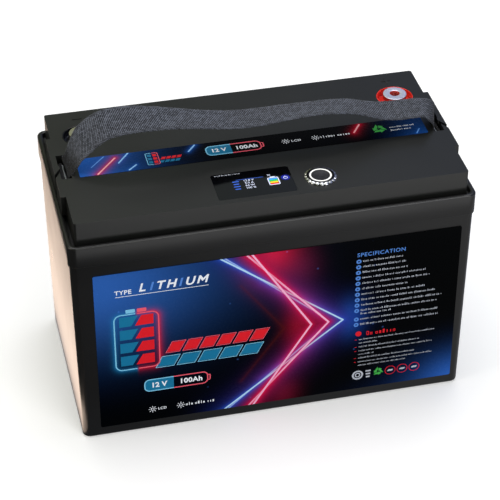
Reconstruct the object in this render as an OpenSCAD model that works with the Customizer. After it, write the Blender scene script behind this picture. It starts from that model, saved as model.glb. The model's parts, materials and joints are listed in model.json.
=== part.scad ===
// Deep cycle battery, 12 V 100 Ah, in a Group 31 size case.
// Origin at the centre of the base, +Z up, X along the length, label side facing -Y.

/* [Case] */
// Length over the collar at the top of the case
case_l = 330; // [326:1:336]
// Width over the collar at the top of the case
case_w = 172; // [170:1:176]
// Height of the top of the collar
rim_z = 196.5; // [195:0.5:197]
// Height of the collar band round the top of the case
collar_h = 19; // [14:1:24]
// Draft of each side wall from the collar down to the base
draft = 1.9; // [0.5:0.1:2]
// Radius of the upright corners of the case
corner_r = 6; // [4:0.5:8]
// Rounding of the bottom edges of the case
base_round = 4; // [2:0.5:5]

/* [Lid] */
// Height of the lid's top face
lid_z = 215; // [214.5:0.5:216]
// Length of the lid's raised top
lid_l = 316.7; // [315:0.1:317]
// Width of the lid's raised top
lid_w = 158.9; // [158:0.1:159.2]
// Thickness of the lid's top plate
lid_t = 3; // [2.6:0.1:3.2]
// Distance that the strap guards stand out to at each end of the lid
guard_x = 162.3; // [161.5:0.1:163]

/* [Terminals] */
// Distance of each terminal from the middle, along X
terminal_x = 133; // [130:0.5:134]
// Distance of each terminal from the middle, along Y
terminal_y = 42.5; // [40:0.5:44]
// Radius of the terminal's contact disc
post_r = 9.8; // [9:0.1:11]
// Height of the contact disc above the lid
post_rise = 2.9; // [2:0.1:4]
// Radius of the tapped hole for the terminal bolt
tapped_r = 3.4; // [3.3:0.05:3.6]
// Depth of the tapped hole
tapped_depth = 14; // [10:1:16]
// Outer radius of the cup round each terminal
cup_r = 15.4; // [14:0.1:16]

/* [Strap] */
// Width of the webbing
strap_w = 28; // [24:0.5:28]
// Thickness of the webbing
strap_t = 1.8; // [1.4:0.1:2]
// Radius of the bar sewn into each end loop
bar_r = 2.2; // [1.8:0.1:2.2]
// Width of the end loop round the bar
loop_w = 23; // [20:0.5:23]

/* [Display and button] */
// Length of the display window
window_l = 63; // [58:0.5:66]
// Width of the display window
window_w = 35; // [31:0.5:36]
// Outer radius of the fluted button bezel
bezel_r = 13; // [12.8:0.1:14]
// Number of flutes round the bezel
flutes = 20; // [12:1:24]
// Radius of the moving button cap
cap_r = 7.1; // [6.5:0.05:7.1]
// Travel of the button cap
cap_travel = 2; // [1:0.1:2.2]

/* [Labels] */
// Length of the front label
label_l = 301; // [280:1:304]
// Height of the front label
label_h = 157; // [140:1:160]
// Length of the strip label on the lid
strip_l = 287.3; // [270:0.1:288]
// Width of the strip label on the lid
strip_w = 25.5; // [20:0.5:28]

/* [Cells] */
// Thickness of one cell
cell_t = 52; // [48:0.5:52]
// Width of one cell
cell_w = 148; // [140:1:148]
// Height of one cell's can
cell_h = 118; // [110:1:118]

/* [Hidden] */
$fn = 64;

eps = 0.05;
slab = 0.2;
ends = [-1, 1];

// Case
body_l = case_l - 2.4;
body_w = case_w - 2.4;
base_l = body_l - 2 * draft;
base_w = body_w - 2 * draft;
collar_z = rim_z - collar_h;
wall_t = 3.4;
floor_t = 3.5;
cavity_l = base_l - 2 * wall_t;
cavity_w = base_w - 2 * wall_t + 0.4;
recess_l = case_l - 8.2;
recess_w = case_w - 6.8;

// Lid
flange_z = 186;
flange_t = 3;
lid_under = lid_z - lid_t;
lid_r = 2;
skirt_t = 3;
guard_z = 198;
guard_back_y = 43;
guard_front_y = -41.6;
pocket_in_x = 149.3;
pocket_out_x = 158.1;
mouth_in_x = 149.5;
mouth_out_x = 157.9;
tab_in_x = 150.3;
tab_out_x = 157.1;
tab_half_y = 2.2;
slot_half_y = 17;
pocket_z = 198.1;

// Terminals
cup_floor_z = 205;
cup_floor_t = 4;
cup_wall = 1;
boss_r = 18.5;
boss_z = 202;
stud_r = 6;
post_top_z = lid_z + post_rise;
disc_t = 4.5;
washer_t = 1.6;
lug_t = 2.4;
nut_t = 9;
oring_r = 0.84;

// Strap path over the lid: x, and height above the lid's top face
loop_x = 153.7;
loop_depth = 7.5;
loop_r = bar_r + strap_t;
strap_points = [
    [-153.7, -4], [-153.5, 3.5], [-150.6, 10.4], [-144, 15], [-136.5, 20.5], [-127, 27], [-115, 33],
    [-101, 36.2], [-88, 36], [-67, 33.4], [-43, 29], [-20, 25.2], [2, 24.1], [26, 25.2], [50, 25.8],
    [70, 24.8], [84, 22.6], [96, 18.8], [107, 15.6], [120, 14], [139, 13.6], [149, 11.4], [153.8, 6.5],
    [154.2, 2], [153.7, -4]
];
strap_steps = 4;

// Display and button
window_x = -11.6;
window_y = -56.1;
window_t = 1.5;
button_x = 41.8;
button_y = -59.5;
bezel_h = 2.2;
barrel_r = 11;
barrel_bore_r = 9.4;
barrel_z = 190;
ring_outer_r = 9.3;
ring_inner_r = 7.2;
ring_z = 210;
cap_top_z = lid_z + 1.7;
cap_h = 4;
stem_r = 3;
stem_z = 202.5;
spring_r = 4.7;
wire_r = 0.45;
spring_low_z = 204.5;
spring_turns = 4.5;

// Labels
label_t = 0.3;
label_gap = 0.03;
label_x = 3.5;
label_mid_z = 88;
strip_x = 0.3;
strip_y = -4.8;

// Cells
cell_gap = 1;
cell_pitch = cell_t + cell_gap;
stack_l = 4 * cell_t + 3 * cell_gap;
cell_z = floor_t + 3;
cell_top_z = cell_z + cell_h;
pad_h = 3;
pad_top_z = cell_top_z + pad_h;
pole_y = 50;
cell_x = [for (i = [0:3]) (i - 1.5) * cell_pitch];
end_plate_t = 3;
band_t = 0.6;
band_h = 16;
busbar_t = 2;
cell_stud_r = 3;
cell_stud_h = 11;
cell_nut_t = 5;

// Battery management board
deck_z = 142;
deck_t = 3;
deck_l = 176;
deck_w = 72;
board_l = 150;
board_w = 68;
board_t = 1.6;
standoff_h = 5;
board_z = deck_z + deck_t + standoff_h;
board_top_z = board_z + board_t;
mosfet_h = 4.4;
heatsink_z = board_top_z + mosfet_h;
heatsink_base = 3;
heatsink_fin_h = 7;
standoff_x = 70;
standoff_y = 30;
block_h = 10;
block_x = -58;
block_y = 24;
cable_r = 4;
lug_barrel_r = 5.2;
lead_r = 0.8;
bend_ratio = 1.06;

function catmull(a, b, c, d, t) =
    0.5 * (2 * b + (c - a) * t + (2 * a - 5 * b + 4 * c - d) * t * t + (3 * b - a - 3 * c + d) * t * t * t);
function clamped(points, i) = points[max(0, min(len(points) - 1, i))];
function smooth_path(points, steps) = concat(
    [for (i = [0:len(points) - 2]) for (k = [0:steps - 1])
        catmull(clamped(points, i - 1), points[i], points[i + 1], clamped(points, i + 2), k / steps)],
    [points[len(points) - 1]]
);
function unit(v) = v / norm(v);
function normal_at(path, i) =
    let (d = unit(clamped(path, i + 1) - clamped(path, i - 1))) [-d[1], d[0]];
function ribbon(path, thickness) = concat(
    [for (i = [0:len(path) - 1]) path[i] + normal_at(path, i) * thickness / 2],
    [for (i = [len(path) - 1:-1:0]) path[i] - normal_at(path, i) * thickness / 2]
);

module rounded_rect(l, w, r) {
    square([l - 2 * r, w], center = true);
    square([l, w - 2 * r], center = true);
    for (x = ends, y = ends) translate([x * (l / 2 - r), y * (w / 2 - r)]) circle(r);
}

module plate(l, w, r, z0, z1) {
    translate([0, 0, z0]) linear_extrude(z1 - z0) rounded_rect(l, w, r);
}

module ring(outer_r, inner_r, z0, z1) {
    translate([0, 0, z0]) difference() {
        cylinder(h = z1 - z0, r = outer_r);
        translate([0, 0, -1]) cylinder(h = z1 - z0 + 2, r = inner_r);
    }
}

module hex_nut(flats, bore_r, z0, z1) {
    translate([0, 0, z0]) difference() {
        cylinder(h = z1 - z0, r = flats / sqrt(3), $fn = 6);
        translate([0, 0, -1]) cylinder(h = z1 - z0 + 2, r = bore_r);
    }
}

module block(x0, x1, y0, y1, z0, z1) {
    translate([x0, y0, z0]) cube([x1 - x0, y1 - y0, z1 - z0]);
}

// A round cable through a list of points, with a slightly fuller ball at each bend
module cable(points, r) {
    for (i = [0:len(points) - 2]) {
        a = points[i];
        b = points[i + 1];
        d = b - a;
        translate(a) rotate([0, acos(d[2] / norm(d)), atan2(d[1], d[0])]) cylinder(h = norm(d), r = r);
        if (i > 0) translate(a) sphere(r * bend_ratio);
    }
}

module at_terminal(side) {
    translate([side * terminal_x, terminal_y, 0]) children();
}

module at_button() {
    translate([button_x, button_y, 0]) children();
}

module at_window() {
    translate([window_x, window_y, 0]) children();
}

// Case: a drafted tub with a collar that takes the lid's flange

module case_outside() {
    hull($fn = 32) {
        plate(base_l - 2 * base_round, base_w - 2 * base_round, corner_r - 2, 0, slab);
        plate(base_l - 0.6 * base_round, base_w - 0.6 * base_round, corner_r, base_round * 0.3, base_round * 0.3 + slab);
        plate(base_l, base_w, corner_r, base_round, base_round + slab);
        plate(body_l, body_w, corner_r, collar_z, collar_z + slab);
    }
    hull($fn = 32) {
        plate(case_l, case_w, corner_r + 1, collar_z + slab, rim_z - 1);
        plate(case_l - 2, case_w - 2, corner_r, rim_z - slab, rim_z);
    }
}

module case() {
    color([0.12, 0.12, 0.13]) difference() {
        case_outside();
        plate(cavity_l, cavity_w, 3, floor_t, flange_z + 1);
        plate(recess_l, recess_w, 4.5, flange_z, rim_z + 1);
    }
}

// Lid: a plate with a skirt, strap guards at the ends and bosses under it

module guard(side) {
    x0 = lid_l / 2 - 2;
    scale_x = side > 0 ? 0 : 1;
    mirror([scale_x, 0, 0]) block(x0, guard_x, guard_front_y, guard_back_y, guard_z, lid_z);
}

module guard_slit() {
    // The slanted gap through which the strap is hooked into its slot
    translate([mouth_out_x - 2.2, -3.6, guard_z - 1]) rotate([0, 0, -58])
        cube([16, 2.4, lid_z - guard_z + 2]);
}

module end_pocket(side) {
    mirror([side > 0 ? 0 : 1, 0, 0]) {
        block(pocket_in_x, pocket_out_x, -slot_half_y, slot_half_y, pocket_z, lid_under);
        // Two small tabs narrow the middle of the mouth, so that the bar stays in its pocket
        for (y = [0, 1]) mirror([0, y, 0])
            block(mouth_in_x, mouth_out_x, tab_half_y, slot_half_y, lid_under - eps, lid_z + 1);
        block(tab_in_x, tab_out_x, -tab_half_y - eps, tab_half_y + eps, lid_under - eps, lid_z + 1);
        guard_slit();
    }
}

module polarity_marks() {
    mark_l = 8;
    mark_w = 1.6;
    for (side = ends) translate([side * 132.5, 68, lid_z - 1]) {
        linear_extrude(1.4) square([mark_l, mark_w], center = true);
        if (side > 0) linear_extrude(1.4) square([mark_w, mark_l], center = true);
    }
}

module lid_solid() {
    difference() {
        union() {
            plate(lid_l, lid_w, lid_r, flange_z, lid_z);
            plate(recess_l - 0.4, recess_w - 0.4, 4.3, flange_z, flange_z + flange_t);
        }
        plate(lid_l - 2 * skirt_t, lid_w - 2 * skirt_t, lid_r, flange_z - 1, lid_under);
    }
    for (side = ends) {
        guard(side);
        mirror([side > 0 ? 0 : 1, 0, 0]) {
            block(pocket_in_x - 2, lid_l / 2 - 1, -slot_half_y - 2, slot_half_y + 2, pocket_z - 2, lid_under + 1);
        }
        at_terminal(side) translate([0, 0, boss_z]) cylinder(h = lid_under - boss_z + 1, r = boss_r);
    }
    polarity_marks();
}

module lid() {
    color([0.16, 0.17, 0.17]) difference() {
        lid_solid();
        for (side = ends) {
            end_pocket(side);
            at_terminal(side) {
                translate([0, 0, cup_floor_z]) cylinder(h = 20, r = cup_r + 0.1);
                translate([0, 0, boss_z - 1]) cylinder(h = 20, r = stud_r + 0.3);
            }
        }
        at_window() {
            plate(window_l + 0.2, window_w + 0.2, 2.1, lid_z - window_t - 0.1, lid_z + 1);
            plate(window_l - 6, window_w - 6, 1, lid_under - 1, lid_z + 1);
        }
        at_button() translate([0, 0, lid_under - 1]) cylinder(h = lid_t + 2, r = barrel_r + 0.2);
    }
}

module lid_sealant() {
    color([0.08, 0.08, 0.08]) difference() {
        plate(recess_l - 0.2, recess_w - 0.2, 4.4, flange_z + flange_t, flange_z + flange_t + 3);
        plate(lid_l + 0.1, lid_w + 0.1, lid_r, flange_z, lid_z);
    }
}

// Terminals

module terminal_cup(side) {
    groove_z = cup_floor_z + cup_floor_t - 2 * oring_r - eps;
    at_terminal(side) rotate_extrude() difference() {
        translate([stud_r + 0.2, cup_floor_z]) square([cup_r - stud_r - 0.2, lid_z - cup_floor_z]);
        translate([0, cup_floor_z + cup_floor_t]) square([cup_r - cup_wall, lid_z]);
        translate([0, groove_z]) square([stud_r + 2, 20]);
    }
}

module terminal_cup_positive() {
    color([0.85, 0.07, 0.08]) terminal_cup(1);
}

module terminal_cup_negative() {
    color([0.05, 0.05, 0.06]) terminal_cup(-1);
}

module terminal_post(side) {
    neck_r = 8.3;
    chamfer = 0.5;
    at_terminal(side) difference() {
        union() {
            translate([0, 0, post_top_z - disc_t]) cylinder(h = disc_t - chamfer, r = post_r);
            translate([0, 0, post_top_z - chamfer]) cylinder(h = chamfer, r1 = post_r, r2 = post_r - chamfer);
            translate([0, 0, cup_floor_z + cup_floor_t]) cylinder(h = 6, r = neck_r);
            translate([0, 0, boss_z - washer_t - lug_t - nut_t - 1]) cylinder(h = 22, r = stud_r);
        }
        translate([0, 0, post_top_z - tapped_depth]) cylinder(h = tapped_depth + 1, r = tapped_r);
        translate([0, 0, post_top_z - 0.6]) cylinder(h = 0.62, r1 = tapped_r, r2 = tapped_r + 0.62);
    }
}

module terminal_post_positive() {
    color([0.78, 0.79, 0.82]) terminal_post(1);
}

module terminal_post_negative() {
    color([0.74, 0.75, 0.78]) terminal_post(-1);
}

module terminal_orings() {
    color([0.1, 0.1, 0.1]) for (side = ends) at_terminal(side)
        translate([0, 0, cup_floor_z + cup_floor_t - oring_r])
        rotate_extrude() translate([stud_r + 1.05, 0]) circle(oring_r);
}

module terminal_washers() {
    color("silver") for (side = ends) at_terminal(side)
        ring(11.5, stud_r + 0.3, boss_z - washer_t, boss_z);
}

module terminal_nuts() {
    top = boss_z - washer_t - lug_t;
    color("silver") for (side = ends) at_terminal(side) hex_nut(19, stud_r + 0.05, top - nut_t, top);
}

// Strap: one length of webbing, looped round a bar at each end

module strap_handle() {
    path = smooth_path(strap_points, strap_steps);
    color([0.33, 0.33, 0.38]) translate([0, 0, lid_z]) rotate([90, 0, 0]) {
        linear_extrude(strap_w, center = true) polygon(ribbon(path, strap_t));
        for (side = ends) translate([side * loop_x, -loop_depth]) linear_extrude(loop_w, center = true)
            difference() {
                circle(loop_r);
                circle(bar_r + 0.02);
            }
    }
}

module strap_bars() {
    color("silver") for (side = ends) translate([side * loop_x, 0, lid_z - loop_depth])
        rotate([90, 0, 0]) cylinder(h = loop_w, r = bar_r, center = true);
}

// Display

module display_window() {
    color([0.03, 0.03, 0.04]) at_window() plate(window_l, window_w, 2, lid_z - window_t - 0.05, lid_z - eps);
}

module display_panel() {
    color([0.1, 0.2, 0.3]) at_window()
        plate(window_l - 7, window_w - 7, 0.6, lid_under + eps, lid_z - window_t - 0.15);
}

module display_hole_places() {
    for (x = ends, y = ends) translate([x * (window_l / 2 + 1), y * (window_w / 2 - 2)]) children();
}

module display_frame() {
    color([0.85, 0.85, 0.82]) at_window() difference() {
        plate(window_l + 10, window_w + 4, 2, lid_under - 6, lid_under - eps);
        plate(window_l - 5, window_w - 9, 1, lid_under - 8, lid_under + 1);
        display_hole_places() translate([0, 0, lid_under - 7]) cylinder(h = 5.5, r = 1);
    }
}

module display_board() {
    color([0.05, 0.35, 0.15]) at_window() difference() {
        union() {
            plate(window_l + 8, window_w + 2, 1, lid_under - 6 - board_t, lid_under - 6);
            block(-14, 8, -9, 5, lid_under - 6 - board_t - 1.4, lid_under - 6 - board_t);
            block(14, 26, -8, 0, lid_under - 6 - board_t - 3, lid_under - 6 - board_t);
        }
        display_hole_places() translate([0, 0, lid_under - 12]) cylinder(h = 8, r = 1.15);
    }
}

module display_screws() {
    head_z = lid_under - 6 - board_t;
    color("silver") at_window() display_hole_places() {
        translate([0, 0, head_z - 1.4]) cylinder(h = 1.4, r = 1.9);
        translate([0, 0, head_z - 0.1]) cylinder(h = 5.5, r = 0.95);
    }
}

// Button: fluted bezel on a threaded barrel, lit ring and a sprung cap

module button_bezel() {
    top = lid_z + bezel_h;
    flute_r = 1.35;
    color([0.86, 0.87, 0.89]) at_button() difference() {
        union() {
            translate([0, 0, lid_z]) cylinder(h = bezel_h - 0.6, r = bezel_r);
            translate([0, 0, top - 0.6]) cylinder(h = 0.6, r1 = bezel_r, r2 = bezel_r - 0.6);
            translate([0, 0, barrel_z]) cylinder(h = lid_z - barrel_z + 1, r = barrel_r);
        }
        translate([0, 0, barrel_z - 1]) cylinder(h = 60, r = barrel_bore_r);
        ring(12.7, 11.3, lid_z - 1, lid_z + 0.95);
        for (i = [0:flutes - 1]) rotate([0, 0, i * 360 / flutes])
            translate([bezel_r + 0.75, 0, lid_z - 1]) cylinder(h = bezel_h + 2, r = flute_r);
    }
}

module button_light_ring() {
    color([0.92, 0.95, 1]) at_button() {
        ring(ring_outer_r, ring_inner_r, ring_z, lid_z + 1.9);
        ring(ring_outer_r, 5.8, ring_z - 1.2, ring_z);
    }
}

module button_cap() {
    color([0.1, 0.1, 0.12]) at_button() {
        translate([0, 0, cap_top_z - 0.4]) cylinder(h = 0.4, r1 = cap_r, r2 = cap_r - 0.4);
        translate([0, 0, cap_top_z - cap_h]) cylinder(h = cap_h - 0.4, r = cap_r);
        translate([0, 0, stem_z]) cylinder(h = cap_top_z - cap_h - stem_z + 0.1, r = stem_r);
    }
}

module button_spring() {
    height = cap_top_z - cap_h - spring_low_z - 2 * wire_r - 2 * eps;
    steps = ceil(spring_turns * 14);
    color("silver") at_button() translate([0, 0, spring_low_z + wire_r + eps])
        for (i = [0:steps - 1]) hull() for (k = [i, i + 1])
            rotate([0, 0, k * 360 * spring_turns / steps])
            translate([spring_r, 0, height * k / steps])
            rotate([90, 0, 0]) cylinder(h = 0.05, r = wire_r, $fn = 6);
}

module button_switch() {
    color([0.2, 0.2, 0.22]) at_button() difference() {
        union() {
            translate([0, 0, barrel_z - 3]) cylinder(h = spring_low_z - barrel_z + 3, r = barrel_bore_r - 0.1);
            for (i = [0:3]) rotate([0, 0, 45 + 90 * i]) block(4, 6.4, -0.4, 0.4, barrel_z - 9, barrel_z - 2);
        }
        translate([0, 0, stem_z - cap_travel - 1]) cylinder(h = 20, r = stem_r + 0.1);
    }
}

module button_gasket() {
    color([0.1, 0.1, 0.1]) at_button() translate([0, 0, lid_z + 0.46])
        rotate_extrude() translate([12, 0]) circle(0.45);
}

module button_nut() {
    color("silver") at_button() hex_nut(27, barrel_r + 0.05, lid_under - 4, lid_under);
}

// Labels

module front_label() {
    lean = atan(draft / (collar_z - base_round));
    face_y = base_w / 2 + (label_mid_z - base_round) * tan(lean) + label_gap;
    color([0.05, 0.12, 0.35]) translate([label_x, -face_y, label_mid_z])
        rotate([90 + lean, 0, 0]) linear_extrude(label_t) rounded_rect(label_l, label_h, 1.5);
}

module strip_label() {
    color([0.06, 0.2, 0.5]) translate([strip_x, strip_y, 0])
        plate(strip_l, strip_w, 1, lid_z + label_gap, lid_z + label_gap + label_t);
}

// Cells

module cell(i) {
    vent_r = 7;
    color([0.2, 0.4, 0.65]) translate([cell_x[i], 0, 0]) difference() {
        union() {
            plate(cell_t, cell_w, 3, cell_z, cell_top_z);
            for (y = ends) translate([0, y * pole_y, 0]) plate(22, 16, 2, cell_top_z - 1, pad_top_z);
        }
        translate([0, 0, cell_top_z - 0.8]) cylinder(h = 2, r = vent_r);
        for (y = ends) translate([0, y * pole_y, pad_top_z - 6]) cylinder(h = 8, r = cell_stud_r + 0.05);
    }
}

module cell_1() { cell(0); }
module cell_2() { cell(1); }
module cell_3() { cell(2); }
module cell_4() { cell(3); }

module cell_insulators() {
    color([0.85, 0.75, 0.45]) for (i = [0:2])
        translate([(cell_x[i] + cell_x[i + 1]) / 2, 0, 0])
        block(-cell_gap / 2 + eps, cell_gap / 2 - eps, -cell_w / 2 + 3, cell_w / 2 - 3, cell_z, cell_top_z);
}

module end_plates() {
    inner = stack_l / 2 + eps;
    color([0.75, 0.76, 0.78]) for (side = ends) mirror([side > 0 ? 0 : 1, 0, 0])
        block(inner, inner + end_plate_t, -cell_w / 2, cell_w / 2, cell_z, cell_top_z);
}

module pack_bands() {
    l = stack_l + 2 * end_plate_t + 0.4;
    w = cell_w + 0.3;
    color("silver") for (z = [30, 85]) difference() {
        plate(l + 2 * band_t, w + 2 * band_t, 1, cell_z + z, cell_z + z + band_h);
        plate(l, w, 0.4, cell_z + z - 1, cell_z + z + band_h + 1);
    }
}

module pole_places() {
    for (i = [0:3], y = ends) translate([cell_x[i], y * pole_y, 0]) children();
}

module cell_studs() {
    color("silver") pole_places() translate([0, 0, pad_top_z - 5.9])
        cylinder(h = cell_stud_h + 5.9, r = cell_stud_r);
}

module busbars() {
    // The links run down alternate sides, so that the four cells are in series
    color([0.8, 0.5, 0.3]) for (i = [0:2]) {
        side = i % 2 == 0 ? 1 : -1;
        translate([(cell_x[i] + cell_x[i + 1]) / 2, side * pole_y, 0]) difference() {
            plate(cell_pitch + 18, 18, 4, pad_top_z, pad_top_z + busbar_t);
            for (x = ends) translate([x * cell_pitch / 2, 0, pad_top_z - 1])
                cylinder(h = busbar_t + 2, r = cell_stud_r + 0.2);
        }
    }
}

module cell_nuts() {
    low = pad_top_z + lug_t;
    color("silver") pole_places() hex_nut(10, cell_stud_r + 0.05, low, low + cell_nut_t);
}

module base_foam() {
    color([0.25, 0.25, 0.27]) plate(cavity_l - 2, cavity_w - 2, 3, floor_t, cell_z);
}

module end_foams() {
    inner = stack_l / 2 + end_plate_t + 1.2;
    color([0.25, 0.25, 0.27]) for (side = ends) mirror([side > 0 ? 0 : 1, 0, 0])
        block(inner, cavity_l / 2 - 1, -cell_w / 2, cell_w / 2, cell_z, cell_top_z - 15);
}

module side_foams() {
    inner = cell_w / 2 + 1.2;
    color([0.25, 0.25, 0.27]) for (side = ends) mirror([0, side > 0 ? 0 : 1, 0])
        block(-stack_l / 2, stack_l / 2, inner, cavity_w / 2 - 0.5, cell_z, cell_top_z - 15);
}

// Battery management board and its parts

module board_corners() {
    for (x = ends, y = ends) translate([x * standoff_x, y * standoff_y, 0]) children();
}

module bms_deck() {
    leg = 8;
    color([0.15, 0.15, 0.17]) difference() {
        union() {
            plate(deck_l, deck_w, 3, deck_z, deck_z + deck_t);
            for (x = ends, y = ends) translate([x * 82, y * 28, 0])
                block(-leg / 2, leg / 2, -leg / 2, leg / 2, cell_top_z, deck_z + 1);
        }
        board_corners() translate([0, 0, deck_z - 1]) cylinder(h = deck_t + 2, r = 1.5);
    }
}

module bms_standoffs() {
    color([0.8, 0.65, 0.3]) board_corners() ring(3, 1.6, deck_z + deck_t, board_z);
}

module bms_board() {
    color([0.05, 0.35, 0.15]) difference() {
        plate(board_l, board_w, 2, board_z, board_top_z);
        board_corners() translate([0, 0, board_z - 1]) cylinder(h = board_t + 2, r = 1.6);
    }
}

module bms_mosfets() {
    color([0.12, 0.12, 0.12]) for (i = [0:7], y = ends)
        translate([-36 + i * 11, y * 9, board_top_z + mosfet_h / 2])
        cube([9, 10, mosfet_h - 2 * eps], center = true);
}

module bms_heatsink() {
    fins = 9;
    l = 96;
    w = 34;
    color([0.7, 0.71, 0.73]) translate([2, 0, 0]) {
        plate(l, w, 1, heatsink_z, heatsink_z + heatsink_base);
        for (i = [0:fins - 1]) translate([0, (i - (fins - 1) / 2) * (w - 1.6) / (fins - 1), 0])
            block(-l / 2 + 2, l / 2 - 2, -0.8, 0.8, heatsink_z + 1, heatsink_z + heatsink_base + heatsink_fin_h);
    }
}

module bms_terminals() {
    color([0.85, 0.7, 0.35]) for (side = ends) translate([block_x, side * block_y, 0]) difference() {
        block(-8, 6, -7, 7, board_top_z, board_top_z + block_h + 1);
        translate([-9, 0, board_top_z + 6]) rotate([0, 90, 0]) cylinder(h = 11, r = cable_r + 0.1);
    }
}

module bms_screws() {
    color("silver") board_corners() {
        translate([0, 0, board_top_z]) cylinder(h = 2, r = 2.8);
        translate([0, 0, deck_z + 0.2]) cylinder(h = board_top_z - deck_z, r = 1.45);
    }
}

module wireless_module() {
    color([0.6, 0.62, 0.65]) translate([61, -16, board_top_z + eps]) {
        block(-8, 8, -6, 6, 0, 1);
        block(-6, 3, -4.5, 4.5, 0.9, 2.6);
    }
}

module balance_connector() {
    color([0.92, 0.92, 0.88]) difference() {
        block(57, 67, 4, 26, board_top_z + eps, board_top_z + 7);
        block(58.2, 65.8, 5.2, 24.8, board_top_z + 1.5, board_top_z + 8);
    }
}

// One lead from a cell pole to the balance connector
module balance_lead(pole_x, side, slot) {
    low = pad_top_z + lug_t + cell_nut_t + eps;
    pin_y = 7 + slot * 4;
    high = heatsink_z + heatsink_base + heatsink_fin_h + 4 + slot * 2.2;
    start = [pole_x, side * (pole_y - 5), low + 0.4];
    translate([pole_x, side * pole_y, 0]) ring(6, cell_stud_r + 0.1, low, low + 0.8);
    cable([start, [start[0], start[1], high], [62, pin_y, high], [62, pin_y, board_top_z + 2]], lead_r);
}

module balance_leads() {
    color([0.75, 0.15, 0.12]) union($fn = 20) {
        balance_lead(cell_x[0], 1, 0);
        balance_lead(cell_x[1], -1, 1);
        balance_lead(cell_x[2], 1, 2);
        balance_lead(cell_x[3], -1, 3);
        balance_lead(cell_x[0], -1, 4);
    }
}

module temperature_probe() {
    bead = [cell_x[2], 22, cell_top_z + 2.05];
    color([0.1, 0.1, 0.1]) {
        translate(bead) sphere(2);
        cable([bead, [cell_x[2], 38.5, cell_top_z + 6], [cell_x[2] + 14, 38.5, board_top_z + 4],
            [cell_x[2] + 22, 30, board_top_z + 4], [cell_x[2] + 22, 30, board_top_z + eps]], lead_r);
    }
}

// Power cables and their ring lugs

module lug(hole_r, ring_r, reach) {
    difference() {
        union() {
            cylinder(h = lug_t - 2 * eps, r = ring_r);
            block(0, reach, -lug_barrel_r + 0.4, lug_barrel_r - 0.4, 0, lug_t - 2 * eps);
            translate([reach - 1, 0, lug_barrel_r]) rotate([0, 90, 0]) cylinder(h = 13, r = lug_barrel_r);
        }
        translate([0, 0, -1]) cylinder(h = 5, r = hole_r);
        translate([reach + 1, 0, lug_barrel_r]) rotate([0, 90, 0]) cylinder(h = 20, r = cable_r + eps);
    }
}

module cable_lugs() {
    post_lug_z = boss_z - washer_t - eps;
    color([0.8, 0.72, 0.6]) {
        translate([terminal_x, terminal_y, post_lug_z]) rotate([180, 0, 180]) lug(stud_r + 0.2, 10.5, 14);
        translate([-terminal_x, terminal_y, post_lug_z]) rotate([180, 0, 0]) lug(stud_r + 0.2, 10.5, 14);
        translate([cell_x[3], -pole_y, pad_top_z + eps]) lug(cell_stud_r + 0.2, 7.5, 12);
        translate([cell_x[0], -pole_y, pad_top_z + eps]) rotate([0, 0, 180]) lug(cell_stud_r + 0.2, 7.5, 12);
    }
}

post_cable_z = boss_z - washer_t - eps - lug_barrel_r;
cell_cable_z = pad_top_z + eps + lug_barrel_r;
block_cable_z = board_top_z + 6;

module positive_cable() {
    color([0.8, 0.08, 0.08]) cable([
        [terminal_x - 16, terminal_y, post_cable_z], [terminal_x - 32, terminal_y, post_cable_z],
        [102, terminal_y - 8, post_cable_z - 10], [104, -25, 152],
        [cell_x[3] + 30, -pole_y, cell_cable_z], [cell_x[3] + 14, -pole_y, cell_cable_z]
    ], cable_r);
}

module negative_cable() {
    color([0.07, 0.07, 0.08]) cable([
        [cell_x[0] - 14, -pole_y, cell_cable_z], [cell_x[0] - 30, -pole_y, cell_cable_z],
        [-100, -block_y, block_cable_z], [block_x - 2, -block_y, block_cable_z]
    ], cable_r);
}

module output_cable() {
    color([0.07, 0.07, 0.08]) cable([
        [-terminal_x + 16, terminal_y, post_cable_z], [-terminal_x + 34, terminal_y, post_cable_z],
        [-99, block_y, block_cable_z], [block_x - 2, block_y, block_cable_z]
    ], cable_r);
}

module display_cable() {
    plug = [window_x + 20, window_y - 4, lid_under - 6 - board_t - 3 - eps];
    color([0.15, 0.15, 0.16]) cable([
        plug, plug - [0, 0, 10], [40, -31, board_top_z + 12], [40, -28, board_top_z + 0.6]
    ], 1.6);
}

module button_cable() {
    start = [button_x, button_y, barrel_z - 3 - eps];
    color([0.15, 0.15, 0.16]) cable([
        start, start - [0, 0, 12], [52, -31, board_top_z + 12], [52, -28, board_top_z + 0.6]
    ], 1.6);
}

case();
lid();
lid_sealant();
terminal_cup_positive();
terminal_cup_negative();
terminal_post_positive();
terminal_post_negative();
terminal_orings();
terminal_washers();
terminal_nuts();
strap_handle();
strap_bars();
display_window();
display_panel();
display_frame();
display_board();
display_screws();
button_bezel();
button_light_ring();
button_cap();
button_spring();
button_switch();
button_gasket();
button_nut();
front_label();
strip_label();
cell_1();
cell_2();
cell_3();
cell_4();
cell_insulators();
end_plates();
pack_bands();
cell_studs();
busbars();
cell_nuts();
base_foam();
end_foams();
side_foams();
bms_deck();
bms_standoffs();
bms_board();
bms_mosfets();
bms_heatsink();
bms_terminals();
bms_screws();
wireless_module();
balance_connector();
balance_leads();
temperature_probe();
positive_cable();
negative_cable();
output_cable();
cable_lugs();
display_cable();
button_cable();
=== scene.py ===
"""Looks for the deep cycle battery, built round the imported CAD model.

Shapes and prints are worked out in millimetres, and finish_piece scales them to the scene's metres.
The floor, the lamps and the camera are in metres.
"""

import json
import math
import random

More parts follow.
